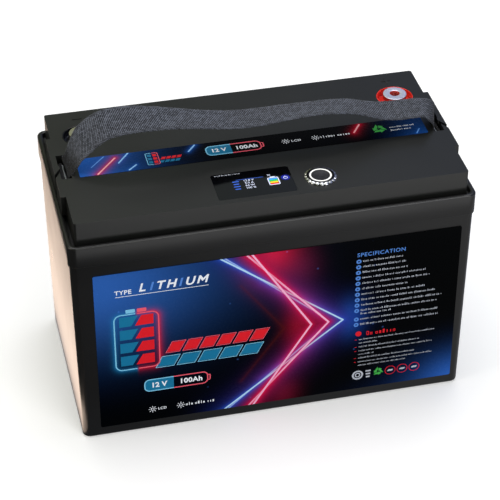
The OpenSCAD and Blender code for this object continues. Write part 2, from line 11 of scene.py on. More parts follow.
import bmesh
import bpy
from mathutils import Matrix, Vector


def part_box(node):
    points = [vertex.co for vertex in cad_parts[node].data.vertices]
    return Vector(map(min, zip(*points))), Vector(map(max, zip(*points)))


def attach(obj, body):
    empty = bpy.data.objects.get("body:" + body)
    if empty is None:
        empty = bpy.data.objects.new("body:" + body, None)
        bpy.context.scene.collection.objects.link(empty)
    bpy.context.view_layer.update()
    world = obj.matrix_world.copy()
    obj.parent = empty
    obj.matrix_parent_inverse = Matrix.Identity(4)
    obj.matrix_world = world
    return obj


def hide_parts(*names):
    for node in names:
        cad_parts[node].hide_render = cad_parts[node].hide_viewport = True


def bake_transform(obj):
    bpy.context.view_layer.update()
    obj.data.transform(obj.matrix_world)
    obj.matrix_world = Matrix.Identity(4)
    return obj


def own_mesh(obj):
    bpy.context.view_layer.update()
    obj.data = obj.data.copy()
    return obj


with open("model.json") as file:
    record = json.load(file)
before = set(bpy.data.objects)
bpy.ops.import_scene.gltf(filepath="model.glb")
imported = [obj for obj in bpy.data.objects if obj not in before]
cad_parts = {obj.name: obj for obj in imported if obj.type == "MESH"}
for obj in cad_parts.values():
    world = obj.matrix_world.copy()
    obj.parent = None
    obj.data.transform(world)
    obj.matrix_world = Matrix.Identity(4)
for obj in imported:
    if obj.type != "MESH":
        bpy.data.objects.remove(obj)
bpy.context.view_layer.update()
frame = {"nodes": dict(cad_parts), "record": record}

MM = 0.001
BODY, STRAP, BUTTON = "battery", "strap", "button"
NODES = frame["nodes"]
ACROSS, REARWARD = Vector((1, 0, 0)), Vector((0, 1, 0))


def box(node):
    """The two corners of a CAD node's box, and the (x, y) middle of it, in millimetres."""
    low, high = (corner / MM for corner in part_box(node))
    return low, high, ((low.x + high.x) / 2, (low.y + high.y) / 2)


LID_TOP = box("terminal_cup_positive")[1].z


# ---------------------------------------------------------------- meshes

def add_object(name, data):
    """Puts a new object with the given data in the scene."""
    made = bpy.data.objects.new(name, data)
    bpy.context.scene.collection.objects.link(made)
    return made


def finish_piece(name, bm, material, body=BODY, node=None, sharp=30):
    """Makes a piece of a bmesh, smooth but for sharp edges. It rides on a body and may replace a CAD node."""
    bmesh.ops.scale(bm, vec=Vector((MM, MM, MM)), verts=bm.verts)
    bmesh.ops.recalc_face_normals(bm, faces=bm.faces)
    mesh = bpy.data.meshes.new(name)
    bm.to_mesh(mesh)
    bm.free()
    mesh.materials.append(material)
    mesh.shade_smooth()
    mesh.set_sharp_from_angle(angle=math.radians(sharp))
    piece = add_object(name, mesh)
    if body:
        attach(piece, body)
    if node:
        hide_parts(node)
    return piece


def bridge(bm, lower, upper):
    """Quads between two closed rings with the same number of vertices."""
    for i in range(len(lower)):
        j = (i + 1) % len(lower)
        bm.faces.new((lower[i], lower[j], upper[j], upper[i]))


def loft(bm, rings, close=False, cap=False):
    """Joins closed rings of points in order. close joins the last to the first, cap fills both ends."""
    rows = [[bm.verts.new(point) for point in ring] for ring in rings]
    for lower, upper in zip(rows, rows[1:]):
        bridge(bm, lower, upper)
    if close:
        bridge(bm, rows[-1], rows[0])
    if cap:
        bm.faces.new(reversed(rows[0]))
        bm.faces.new(rows[-1])


def rounded_ring(half_x, half_y, radius, z):
    """Points of a rounded rectangle round the vertical axis, at height z."""
    points = []
    steps = 10
    for quarter, (sx, sy) in enumerate(((1, 1), (-1, 1), (-1, -1), (1, -1))):
        for k in range(steps + 1):
            angle = (quarter + k / steps) * math.pi / 2
            x = sx * (half_x - radius) + radius * math.cos(angle)
            y = sy * (half_y - radius) + radius * math.sin(angle)
            points.append((x, y, z))
    return points


def round_points(radius, z, centre, steps, wave=None):
    """Points of a circle, or of a wavy circle when wave gives a change of radius for each angle."""
    points = []
    for k in range(steps):
        angle = 2 * math.pi * k / steps
        r = radius + (wave(angle) if wave else 0)
        points.append((centre[0] + r * math.cos(angle), centre[1] + r * math.sin(angle), z))
    return points


def lathe(profile, centre):
    """A closed solid of revolution from (radius, z) pairs round a vertical axis."""
    bm = bmesh.new()
    loft(bm, [round_points(r, z, centre, 96) for r, z in profile], close=True)
    return bm


def corner_arc(r, z, radius, start, end, steps=4):
    """(radius, z) pairs along a small arc centred at (r, z), between two angles in degrees."""
    pairs = []
    for k in range(steps + 1):
        angle = math.radians(start + (end - start) * k / steps)
        pairs.append((r + radius * math.cos(angle), z + radius * math.sin(angle)))
    return pairs


# ---------------------------------------------------------------- shader graphs

class Graph:
    """A short way to write the nodes of a material round one Principled shader, or of a world."""

    def __init__(self, name, family=bpy.data.materials):
        self.owner = family.new(name)
        self.owner.use_nodes = True
        self.tree = self.owner.node_tree

    def link(self, value, socket):
        if isinstance(value, bpy.types.NodeSocket):
            self.tree.links.new(value, socket)
        elif value is not None:
            socket.default_value = value

    def node(self, kind, inputs=(), **settings):
        made = self.tree.nodes.new("ShaderNode" + kind)
        for key, value in settings.items():
            setattr(made, key, value)
        for key, value in dict(inputs).items():
            self.link(value, made.inputs[key])
        return made

    def math(self, operation, a, b=None, clamp=False):
        return self.node("Math", {0: a, 1: b}, operation=operation, use_clamp=clamp).outputs[0]

    def times(self, a, b, clamp=False):
        return self.math("MULTIPLY", a, b, clamp)

    def vector(self, operation, a, b=None):
        made = self.node("VectorMath", {0: a, 1: b}, operation=operation)
        return made.outputs["Value" if operation in ("LENGTH", "DOT_PRODUCT") else "Vector"]

    def place(self):
        return self.node("TexCoord").outputs["Object"]

    def scaled_place(self, scale):
        return self.vector("MULTIPLY", self.place(), scale)

    def split(self, vector):
        return self.node("SeparateXYZ", {"Vector": vector}).outputs

    def noise(self, scale, detail=3.0, roughness=0.5, vector=None, distortion=0.0):
        return self.node("TexNoise", {
            "Vector": vector or self.place(), "Scale": scale, "Detail": detail,
            "Roughness": roughness, "Distortion": distortion}).outputs["Fac"]

    def cells(self, scale):
        """Distance to the nearest point of a random scatter."""
        return self.node("TexVoronoi", {"Vector": self.place(), "Scale": scale}).outputs["Distance"]

    def ramp(self, value, low, high, start=0.0, end=1.0):
        """From low to high while the value goes from start to end."""
        return self.node("MapRange", {"Value": value, "From Min": start, "From Max": end,
                                      "To Min": low, "To Max": high}).outputs["Result"]

    def mix(self, share, a, b, blend="MIX"):
        made = self.node("Mix", data_type="RGBA", blend_type=blend)
        for value, index in ((share, 0), (a, 6), (b, 7)):
            self.link(value, made.inputs[index])
        return made.outputs[2]

    def tint(self, share, colour):
        """A colour scaled by a value."""
        return self.mix(share, (0, 0, 0, 1), colour)

    def fade(self, distance, spread):
        """1 at no distance, falling off smoothly over the spread."""
        return self.math("EXPONENT", self.math("DIVIDE", distance, -spread))

    def offset(self, origin, axes=(1, 1, 1)):
        """The way from an origin, in millimetres, along the axes that are 1."""
        moved = self.vector("SUBTRACT", self.place(), Vector(origin) * MM)
        return self.vector("MULTIPLY", moved, Vector(axes) / MM)

    def within(self, centre, inner, outer):
        """1 within the inner radius of a vertical axis, falling to 0 at the outer radius."""
        distance = self.vector("LENGTH", self.offset((*centre, 0), (1, 1, 0)))
        return self.ramp(distance, 1.0, 0.0, inner, outer)

    def turned(self, centre, top, scale):
        """Rings round a vertical axis, as turning leaves them."""
        inputs = {"Vector": self.offset((*centre, top)), "Scale": scale}
        return self.node("TexWave", inputs, wave_type="RINGS", rings_direction="Z").outputs["Fac"]

    def bump(self, height, distance):
        """The shading normal of a relief whose full height is a distance in millimetres."""
        made = self.node("Bump", {"Height": height, "Distance": distance * MM, "Strength": 1.0})
        return made.outputs["Normal"]

    def set(self, **inputs):
        """Sets inputs of the Principled shader, and gives the material."""
        shader = self.tree.nodes["Principled BSDF"]
        for key, value in inputs.items():
            self.link(value, shader.inputs[key.replace("_", " ")])
        return self.owner


def rgb(red, green, blue):
    """A display colour from 0 to 255 as the linear colour that shaders use."""
    def linear(c):
        c /= 255
        return c / 12.92 if c <= 0.04045 else ((c + 0.055) / 1.055) ** 2.4
    return (linear(red), linear(green), linear(blue), 1.0)


# ---------------------------------------------------------------- materials

def moulded_plastic(name, dark, light, roughness=0.36):
    """Satin moulded ABS: a fine spark texture and faint flow marks."""
    g = Graph(name)
    flow = g.noise(9, detail=2, vector=g.scaled_place((1, 1, 3)))
    speck = g.ramp(g.noise(2600, detail=2), 0.86, 1.1)
    colour = g.mix(g.ramp(flow, 0, 1, 0.35, 0.7), dark, light)
    rough = g.ramp(g.noise(30, detail=2), roughness - 0.02, roughness + 0.03)
    texture = g.math("ADD", g.noise(1700, detail=2), g.times(g.noise(420, detail=3), 0.6))
    return g.set(Base_Color=g.tint(speck, colour), Roughness=rough, Normal=g.bump(texture, 0.012))


def glossy_plastic(name, colour, deep, roughness=0.12):
    """Polished moulded plastic with a little depth and faint swirl marks."""
    g = Graph(name)
    shade = g.mix(g.noise(90, detail=3), deep, colour)
    rough = g.ramp(g.noise(700, detail=4), roughness, roughness + 0.08)
    return g.set(Base_Color=shade, Roughness=rough, Coat_Weight=0.4, Coat_Roughness=0.06,
                 Normal=g.bump(g.noise(160, detail=2), 0.01))


def metal(name, colour, roughness=0.25, stretch=(1, 1, 30), marks=0.02):
    """Machined or plated metal with fine tool marks and faint tarnish."""
    g = Graph(name)
    lines = g.noise(500, detail=4, vector=g.scaled_place(stretch))
    stain = g.noise(60, detail=5, roughness=0.65)
    dull = tuple(c * 0.72 for c in colour[:3]) + (1,)
    shade = g.mix(g.ramp(stain, 0, 1, 0.4, 0.75), colour, dull)
    rough = g.ramp(lines, roughness - 0.06, roughness + 0.12)
    return g.set(Base_Color=shade, Metallic=1.0, Roughness=rough, Normal=g.bump(lines, marks))


def rubbery(name, colour, roughness=0.7, cell=900):
    """Rubber, sealant, insulation or foam with a fine uneven skin."""
    g = Graph(name)
    skin = g.noise(cell, detail=4, roughness=0.6)
    pale = tuple(min(1, c * 1.7 + 0.01) for c in colour[:3]) + (1,)
    shade = g.mix(g.ramp(skin, 0, 1, 0.4, 0.8), colour, pale)
    return g.set(Base_Color=shade, Roughness=g.ramp(skin, roughness - 0.08, roughness + 0.1),
                 Normal=g.bump(skin, 0.03))


def board_material():
    """Green solder mask over copper tracks."""
    g = Graph("circuit_board")
    tracks = g.node("TexBrick", {
        "Vector": g.place(), "Scale": 260.0, "Mortar Size": 0.03, "Color1": rgb(10, 70, 30),
        "Color2": rgb(14, 84, 38), "Mortar": rgb(60, 140, 70)}).outputs["Color"]
    blotch = g.noise(120, detail=3)
    return g.set(Base_Color=g.mix(g.ramp(blotch, 0, 0.4), tracks, rgb(6, 50, 22)), Roughness=0.3,
                 Normal=g.bump(blotch, 0.02))


def foam_material():
    """Closed-cell foam with visible pores."""
    g = Graph("foam")
    pores = g.cells(700)
    return g.set(Base_Color=g.mix(pores, rgb(38, 38, 41), rgb(70, 70, 74)), Roughness=0.9,
                 Normal=g.bump(pores, 0.2))


def film_material():
    """Blue shrink film, with small wrinkles, over a cell's can."""
    g = Graph("cell_wrap")
    wrinkle = g.noise(90, detail=5, distortion=1.2)
    return g.set(Base_Color=g.mix(wrinkle, rgb(22, 70, 150), rgb(50, 110, 190)), Roughness=0.28,
                 Normal=g.bump(wrinkle, 0.15))


def ink(name, colour, glow=0.0, roughness=0.35):
    """A printed colour under the label's film, slightly uneven like screen print. The glow makes it give off
    light: painted light on the labels, the backlight on the display.
    """
    g = Graph(name)
    grain = g.ramp(g.noise(2500, detail=2), 0.9, 1.0)
    shade = g.tint(grain, colour)
    return g.set(Base_Color=shade, Roughness=roughness, Specular_IOR_Level=0.3, Emission_Color=shade,
                 Emission_Strength=glow)


def webbing_material():
    """Woven polypropylene: each yarn float has its own shade, darkened by painted shade in the hollows
    between yarns and towards the slots, under a fuzz of fine fibres.
    """
    g = Graph("webbing_yarn")
    shade = g.node("Attribute", attribute_name="yarn_tone_and_painted_shade").outputs["Fac"]
    fibres = g.noise(2600, detail=3, roughness=0.7)
    yarn = g.mix(g.ramp(shade, 0, 1, 0.28, 0.9), rgb(7, 8, 12), rgb(116, 121, 134))
    yarn = g.mix(g.ramp(g.noise(45, detail=4), 0, 0.18, 0.35, 0.7), yarn, rgb(58, 54, 52))
    yarn = g.mix(g.ramp(fibres, 0, 0.25, 0.5, 0.8), yarn, rgb(108, 112, 124))
    return g.set(Base_Color=yarn, Roughness=0.88, Sheen_Weight=0.15, Sheen_Roughness=0.4,
                 Specular_IOR_Level=0.2, Normal=g.bump(fibres, 0.06))


CASE_PLASTIC = moulded_plastic("case_plastic", rgb(21, 21, 22), rgb(26, 26, 27), roughness=0.28)
RED_CUP = glossy_plastic("red_cup", rgb(255, 62, 44), rgb(228, 26, 22), roughness=0.08)
BLACK_CUP = glossy_plastic("black_cup", rgb(14, 14, 15), rgb(6, 6, 7))
ZINC = metal("zinc_steel", rgb(190, 194, 200), roughness=0.3)
# White label print that glows, as painted light.
WHITE_PRINT = ink("white_print", rgb(240, 244, 252), glow=0.25)

SLOT_MATERIALS = {
    "case_plastic": CASE_PLASTIC,
    "lid_plastic": moulded_plastic("lid_plastic", rgb(22, 23, 22), rgb(26, 27, 26), roughness=0.3),
    "sealant": rubbery("sealant", rgb(8, 8, 9), roughness=0.6),
    "red_plastic": RED_CUP,
    "black_plastic": BLACK_CUP,
    "tinned_metal": metal("tinned_metal", rgb(214, 220, 232), roughness=0.22),
    "seal_rubber": rubbery("seal_rubber", rgb(14, 14, 14)),
    "zinc_steel": ZINC,
    "display_window": glossy_plastic("smoked_window", rgb(5, 5, 7), rgb(2, 2, 3), roughness=0.05),
    "display_panel": glossy_plastic("display_glass", rgb(40, 70, 90), rgb(24, 44, 60)),
    "white_plastic": moulded_plastic("white_nylon", rgb(205, 205, 198), rgb(222, 222, 216)),
    "circuit_board": board_material(),
    "chrome": metal("chrome", rgb(226, 228, 232), roughness=0.12, marks=0.004),
    "black_nylon": moulded_plastic("black_nylon", rgb(24, 24, 26), rgb(36, 36, 39), roughness=0.5),
    "cell_wrap": film_material(),
    "fibre_board": rubbery("fibre_board", rgb(196, 174, 112), roughness=0.5, cell=1500),
    "aluminium": metal("aluminium", rgb(196, 198, 202), roughness=0.35, stretch=(1, 30, 1)),
    "copper": metal("copper", rgb(212, 140, 96), roughness=0.3),
    "foam": foam_material(),
    "brass": metal("brass", rgb(206, 172, 96), roughness=0.3),
    "chip_black": moulded_plastic("chip_black", rgb(16, 16, 17), rgb(26, 26, 28), roughness=0.55),
    "tin_shield": metal("tin_shield", rgb(176, 180, 186), roughness=0.35),
    "red_insulation": rubbery("red_insulation", rgb(150, 12, 14), roughness=0.45),
    "black_insulation": rubbery("black_insulation", rgb(16, 16, 18), roughness=0.45),
}


def dress(node, material):
    """Gives a CAD node one material in place of its plain one."""
    node.data.materials.clear()
    node.data.materials.append(material)


def dress_cad_nodes():
    """Gives each carried-over CAD node the material of its slot, and crisp edges between smooth faces."""
    for entry in frame["record"]["subparts"]:
        node = NODES[entry["node"]]
        if entry["material_slot"] in SLOT_MATERIALS:
            dress(node, SLOT_MATERIALS[entry["material_slot"]])
        node.data.shade_smooth()
        node.data.set_sharp_from_angle(angle=math.radians(30))


# ---------------------------------------------------------------- case and lid

def case_half_at(height):
    """Half length and half width of the CAD case at a height, read from its own mesh."""
    near = [v.co / MM for v in NODES["case"].data.vertices if abs(v.co.z / MM - height) < 0.3]
    return max(v.x for v in near), max(v.y for v in near)


def quarter_round(radius, steps):
    """(inset, rise) pairs from the foot of a rounded edge to its side."""
    turns = [math.radians(90 * k / steps) for k in range(steps + 1)]
    return [(radius * (1 - math.sin(turn)), radius * (1 - math.cos(turn))) for turn in turns]


def build_case():
    """The tub: rounded base edge, drafted walls, a collar with soft edges, and the recess for the lid."""
    base_round, lip_round, rim_round = 2.4, 0.6, 1.6
    corner, collar_corner = 6, 7
    collar_z, recess_z, floor_z = 177.5, 186, 3.5
    base_x, base_y = case_half_at(4.2)
    collar_x, collar_y, top = box("case")[1]
    body_x, body_y = collar_x - 1.2, collar_y - 1.2
    recess_x, recess_y = collar_x - 4.1, collar_y - 3.4
    cavity_x, cavity_y = base_x - 3.4, base_y - 3.2
    levels = [(base_x - inset, base_y - inset, corner - 0.5 * inset, rise)
              for inset, rise in quarter_round(base_round, 6)]
    levels += [(body_x, body_y, corner, collar_z - 0.3), (body_x + 0.15, body_y + 0.15, corner, collar_z)]
    for inset, rise in quarter_round(lip_round, 3):
        levels.append((collar_x - inset, collar_y - inset, collar_corner - inset, collar_z + rise))
    for drop, inset in quarter_round(rim_round, 5):
        levels.append((collar_x - inset, collar_y - inset, collar_corner - inset, top - drop))
    levels += [(recess_x + 0.6, recess_y + 0.6, 5, top), (recess_x + 0.2, recess_y + 0.2, 4.7, top - 0.2),
               (recess_x, recess_y, 4.5, top - 0.6), (recess_x, recess_y, 4.5, recess_z),
               (cavity_x, cavity_y, 3, recess_z), (cavity_x, cavity_y, 3, floor_z)]
    bm = bmesh.new()
    loft(bm, [rounded_ring(*level) for level in levels], cap=True)
    finish_piece("case_shell", bm, CASE_PLASTIC, node="case")


def soften_lid():
    """Rounds the sharp edges of the CAD lid so that they catch the light."""
    lid = NODES["lid"]
    lid.modifiers.new("weld", "WELD").merge_threshold = 0.002 * MM
    bevel = lid.modifiers.new("soft_edges", "BEVEL")
    bevel.width = 0.7 * MM
    bevel.segments = 3
    bevel.limit_method = "ANGLE"
    bevel.angle_limit = math.radians(40)
    flat = lid.modifiers.new("flat_faces", "WEIGHTED_NORMAL")
    flat.weight = 100
    flat.keep_sharp = True


# ---------------------------------------------------------------- terminals

def build_terminals():
    """Glossy cups with rounded lips, and the posts that stand in them."""
    stem, wall, lip, hollow = 6.2, 1.0, 0.45, 1.2
    seat, seat_depth = stem + 1.85, 1.7
    for side, cup_material, slot in (
            ("positive", RED_CUP, "red_plastic"), ("negative", BLACK_CUP, "black_plastic")):
        low, high, centre = box("terminal_cup_" + side)
        outer, floor_z = (high.x - low.x) / 2, low.z + 4
        profile = [(stem, low.z), (outer, low.z), (outer, high.z - lip)]
        profile += corner_arc(outer - lip, high.z - lip, lip, 0, 180, 8)
        profile += [(outer - wall, high.z - hollow)]
        profile += corner_arc(outer - wall - hollow, floor_z + hollow, hollow, 0, -90, 6)
        profile += [(seat, floor_z), (seat, floor_z - seat_depth), (stem, floor_z - seat_depth)]
        finish_piece("cup_" + side, lathe(profile, centre), cup_material,
                     node="terminal_cup_" + side)
        build_post(side, centre)


def build_post(side, centre):
    """A turned post: a stem, a neck and a contact disc, with a countersunk hole and its thread."""
    low, high, _ = box("terminal_post_" + side)
    disc, top, edge = (high.x - low.x) / 2, high.z, 0.5
    stem, neck, axis = 6, 8.3, 0.2
    hole, mouth, depth = 3.4, 4.05, 14
    pitch, thread = 1.25, 0.35
    disc_low, neck_low = top - 4.5, top - 8.9
    profile = [(stem, low.z), (stem, neck_low), (neck, neck_low), (neck, disc_low - 0.4)]
    profile += [(neck + 0.4, disc_low), (disc - 0.3, disc_low), (disc, disc_low + 0.3)]
    profile += corner_arc(disc - edge, top - edge, edge, 0, 90)
    profile += [(mouth + 0.25, top), (mouth, top - 0.12), (hole + thread, top - 0.8)]
    turn = top - 1.0
    while turn > top - depth + pitch:
        profile += [(hole, turn), (hole + thread, turn - pitch / 2)]
        turn -= pitch
    profile += [(hole, turn), (hole, top - depth), (axis, top - depth - 1), (axis, low.z)]
    finish_piece("post_" + side, lathe(profile, centre), post_material(side, centre, mouth, top),
                 node="terminal_post_" + side)


def post_material(side, centre, mouth, top):
    """Polished tin with fine turning rings and painted reflections: the tin is tinted bluish on the positive
    post and yellow-grey on the negative, and the hole and the side below the disc take the cup's colour as
    painted reflection of the cup, with painted shade in the hole.
    """
    g = Graph("post_tin_" + side)
    positive = side == "positive"
    # Painted reflection: the tin is tinted bluish on the positive post and yellow-grey on the negative.
    tin = rgb(228, 230, 252) if positive else rgb(176, 176, 150)
    # Painted reflection and shade: the cup's colour, laid into the hole and onto the side below the disc.
    painted_cup_reflection = rgb(176, 36, 28) if positive else rgb(60, 56, 44)
    below = g.ramp(g.split(g.offset((0, 0, top)))["Z"], 1.0, 0.0, -0.5, -0.2)
    hole = g.within(centre, mouth + 0.1, mouth + 0.35)
    # Where the painted cup reflection and the painted hole shade go.
    dark = g.math("MAXIMUM", below, hole)
    stain = g.ramp(g.noise(90, detail=4), 0.9, 1.0)
    return g.set(Base_Color=g.mix(dark, g.tint(stain, tin), painted_cup_reflection), Metallic=g.ramp(dark, 0.55, 0.2),
                 Roughness=g.ramp(dark, 0.16, 0.4), Normal=g.bump(g.turned(centre, top, 0.7), 0.003))


# ---------------------------------------------------------------- button

def build_button():
    """The bezel, the light ring, the cap and its spring, all round one axis."""
    centre = box("button_bezel")[2]
    build_bezel(centre)
    build_light_ring(centre)
    build_cap(centre)
    build_spring(centre)


def build_bezel(centre):
    """Fluted chrome bezel on its barrel, painted dark inside the flutes as painted reflection."""
    low, high, _ = box("button_bezel")
    outer, bore, barrel = 13, 9.4, 11
    flutes, steps = 20, 320

    def notches(depth):
        return lambda angle: -depth * max(0.0, min(1.0, 3 * math.cos(flutes * angle) - 0.6))

    section = [
        (bore, low.z, 0), (barrel, low.z, 0), (barrel, LID_TOP, 0), (outer - 0.4, LID_TOP, 0.5),
        (outer, LID_TOP + 0.25, 1.0), (outer, LID_TOP + 0.75, 1.1),
        (outer - 0.35, LID_TOP + 1.25, 1.0), (outer - 1.5, LID_TOP + 1.75, 0.7),
        (outer - 2.2, LID_TOP + 2.0, 0), (outer - 2.6, high.z, 0),
        (bore + 0.3, high.z, 0), (bore, high.z - 0.3, 0)]
    bm = bmesh.new()
    loft(bm, [round_points(r, z, centre, steps, notches(depth)) for r, z, depth in section], close=True)
    g = Graph("bezel_chrome")
    # Painted reflection: the chrome inside the flutes is painted dark grey, and the flutes keep bright
    # chrome.
    shade = g.mix(g.within(centre, 10.9, 11.4), rgb(222, 224, 228), rgb(44, 44, 48))
    scratches = g.noise(900, detail=4, vector=g.scaled_place((1, 1, 20)))
    chrome = g.set(Base_Color=shade, Metallic=1.0, Roughness=g.ramp(scratches, 0.08, 0.2),
                   Normal=g.bump(scratches, 0.004))
    finish_piece("bezel_fluted", bm, chrome, node="button_bezel", sharp=50)


def build_light_ring(centre):
    """A glowing ring with a rounded top, in a ring-shaped tray."""
    low, high, _ = box("button_light_ring")
    bore, inner, rim, round_r = 5.8, 7.2, 9.3, 0.7
    tray_z = low.z + 1.2
    profile = [(bore, low.z), (rim, low.z), (rim, high.z - round_r)]
    profile += corner_arc(rim - round_r, high.z - round_r, round_r, 0, 90)
    profile += corner_arc(inner + round_r, high.z - round_r, round_r, 90, 180)
    profile += [(inner, tray_z), (bore, tray_z)]
    g = Graph("light_ring")
    even = g.ramp(g.noise(300, detail=3), 0.92, 1.0)
    lit = g.math("SUBTRACT", g.within(centre, 8.7, 9.0), g.within(centre, 7.5, 7.8))
    white = g.tint(g.times(even, g.ramp(lit, 0.06, 1.0)), (0.9, 0.9, 0.88, 1))
    glowing = g.set(Base_Color=white, Roughness=0.3, Emission_Color=white, Emission_Strength=0.55)
    finish_piece("light_ring", lathe(profile, centre), glowing, node="button_light_ring")


def build_cap(centre):
    """The dark cap on its stem, with a dished and finely turned top."""
    low, high, _ = box("button_cap")
    axis, stem, edge, dish = 0.05, 3, 0.4, 0.5
    radius, skirt_low = high.x - centre[0], high.z - 4
    profile = [(axis, low.z), (stem, low.z), (stem, skirt_low), (radius, skirt_low)]
    profile += corner_arc(radius - edge, high.z - edge, edge, 0, 90)
    for k in range(1, 9):
        share = 1 - k / 8
        profile.append((max(axis, (radius - 0.6) * share), high.z - dish * (1 - share ** 2)))
    g = Graph("button_black")
    rings = g.turned(centre, high.z, 0.9)
    black = g.set(Base_Color=g.mix(rings, rgb(34, 34, 37), rgb(58, 58, 62)), Metallic=0.6, Roughness=0.42,
                  Normal=g.bump(rings, 0.02))
    finish_piece("cap_dished", lathe(profile, centre), black, BUTTON, node="button_cap")


def build_spring(centre):
    """The cap's return spring, one coil."""
    low, high, _ = box("button_spring")
    wire, turns, steps, travel = 0.45, 4.5, 160, 2
    radius, rise = (high.x - low.x) / 2 - wire, high.z - low.z - 2 * wire
    rings = []
    for i in range(steps + 1):
        angle = 2 * math.pi * turns * i / steps
        ring = []
        for k in range(12):
            turn = 2 * math.pi * k / 12
            reach = radius + wire * math.cos(turn)
            z = low.z + wire + rise * i / steps + wire * math.sin(turn)
            ring.append((centre[0] + reach * math.cos(angle), centre[1] + reach * math.sin(angle), z))
        rings.append(ring)
    bm = bmesh.new()
    loft(bm, rings, cap=True)
    spring = finish_piece("spring_coil", bm, ZINC, node="button_spring")
    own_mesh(spring)


# ---------------------------------------------------------------- strap

# The webbing's way over the lid: x, and height over the lid's top, in millimetres.
STRAP_PATH = [
    (-151, -4), (-151.4, -0.5), (-149.4, 2.4), (-147.4, 5.6), (-145.9, 8.7), (-144.5, 11.8), (-142.8, 15),
    (-138.5, 20.9), (-134.2, 25.5), (-128.4, 30.2), (-120.5, 34.4), (-111.8, 36.3), (-101, 36.8), (-88, 36),
    (-67, 33.4), (-43, 29), (-20, 25.2), (2, 24.1), (26, 25.2), (50, 25.8), (70, 24.8), (84, 22.6),
    (96, 18.8), (107, 15.6), (120, 14), (136, 13.9), (143, 13.4), (148.6, 11.2), (152.4, 7), (153.3, 2.5),
    (151.6, -3.5)]
STRAP_WIDTH, STRAP_THICK, YARN_RELIEF = 28.0, 1.3, 0.42
ROW_STEP, ACROSS_STEPS = 0.46, 58


def unit(value):
    """A value held between 0 and 1."""
    return min(1.0, max(0.0, value))


def catmull(a, b, c, d, t):
    """A point on the smooth curve from b to c, with a before and d after them."""
    return 0.5 * (2 * b + (c - a) * t + (2 * a - 5 * b + 4 * c - d) * t ** 2
                  + (3 * b - a - 3 * c + d) * t ** 3)


def even_path(points, spacing):
    """Evenly spaced points along a smooth curve through the given points."""
    points = [Vector(p) for p in points]
    fine = []
    for i in range(len(points) - 1):
        around = [points[max(0, min(len(points) - 1, i + k))] for k in (-1, 0, 1, 2)]
        fine += [catmull(*around, k / 60) for k in range(60)]
    fine.append(points[-1])
    path, travelled, due = [fine[0]], 0.0, spacing
    for a, b in zip(fine, fine[1:]):
        step = (b - a).length
        while travelled + step >= due:
            path.append(a.lerp(b, (due - travelled) / step))
            due += spacing
        travelled += step
    return path


def bump_at(x, middle, reach):
    """1 at the middle, falling smoothly to almost nothing at twice the reach."""
    return math.exp(-((x - middle) / reach) ** 2)


def strap_tilt(point):
    """The webbing's twist to the front, in degrees: most over the left hump, a little back past it."""
    rise = unit((point.x + 147.5) / 12)
    left = 9 + 15.5 * rise * rise * (3 - 2 * rise)
    if point.x > -120:
        left *= bump_at(point.x, -120, 45)
    return left - 8.5 * bump_at(point.x, 52, 40) + 2.5 * bump_at(point.x, 122, 16)


def strap_fan(point):
    """How far the rear edge runs ahead of the front edge near the right slot, in mm."""
    turn = 6 * bump_at(point.y, 9, 5) if point.x > 120 else 0
    return 7.4 * bump_at(point.x, 157, 15) + turn


def weave_at(along, across, edge_gap, shades):
    """Height from 0 to 1 of the twill's yarns at a point on the face, all in millimetres, and a shade from 0
    to 1: the float's own random shade, with painted shade that darkens the hollows between yarns.
    """
    lean = -0.7 if edge_gap > 2.2 else 1.3
    rib = (along + lean * across) / 1.9
    yarn = across / 1.5 + 0.2 * along
    rib_height, yarn_height = (0.5 + 0.5 * math.cos(2 * math.pi * phase) for phase in (rib, yarn))
    height = 0.64 * rib_height + 0.36 * yarn_height
    cell = shades[(math.floor(rib + 0.5) * 31 + math.floor(yarn + 0.5) * 17) % len(shades)]
    # Painted shade: most of the shade follows the yarns' height, so the hollows between yarns come out
    # darker.
    return height, 0.72 * height + 0.28 * cell


def round_rod(side, rod):
    """The webbing's way round the rod at one end: x and height over the lid, from left to right."""
    radius = rod.z + 0.9
    turns = [math.radians(angle) for angle in range(100, 351, 25)]
    points = [(side * (rod.x - radius * math.cos(turn)), rod.y + radius * math.sin(turn)) for turn in turns]
    return points if side < 0 else points[::-1]


def follow_strap(piece):
    """Bakes the piece's place into its mesh."""
    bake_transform(piece)


def build_rods():
    """The steel rods that the end loops close round. Gives x, height over the lid and radius, in mm."""
    low, high, _ = box("strap_bars")
    radius, middle, bevel = (high.z - low.z) / 2, (low.z + high.z) / 2, 0.4
    ends = [(low.y, radius - bevel), (low.y + bevel, radius)]
    ends += [(high.y - bevel, radius), (high.y, radius - bevel)]
    turns = [2 * math.pi * k / 40 for k in range(40)]
    bm = bmesh.new()
    for x in (low.x + radius, high.x - radius):
        loft(bm, [[(x + r * math.cos(turn), y, middle + r * math.sin(turn)) for turn in turns]
                  for y, r in ends], cap=True)
    follow_strap(finish_piece("strap_rods", bm, ZINC, None, node="strap_bars"))
    return Vector((high.x - radius, middle - LID_TOP, radius))


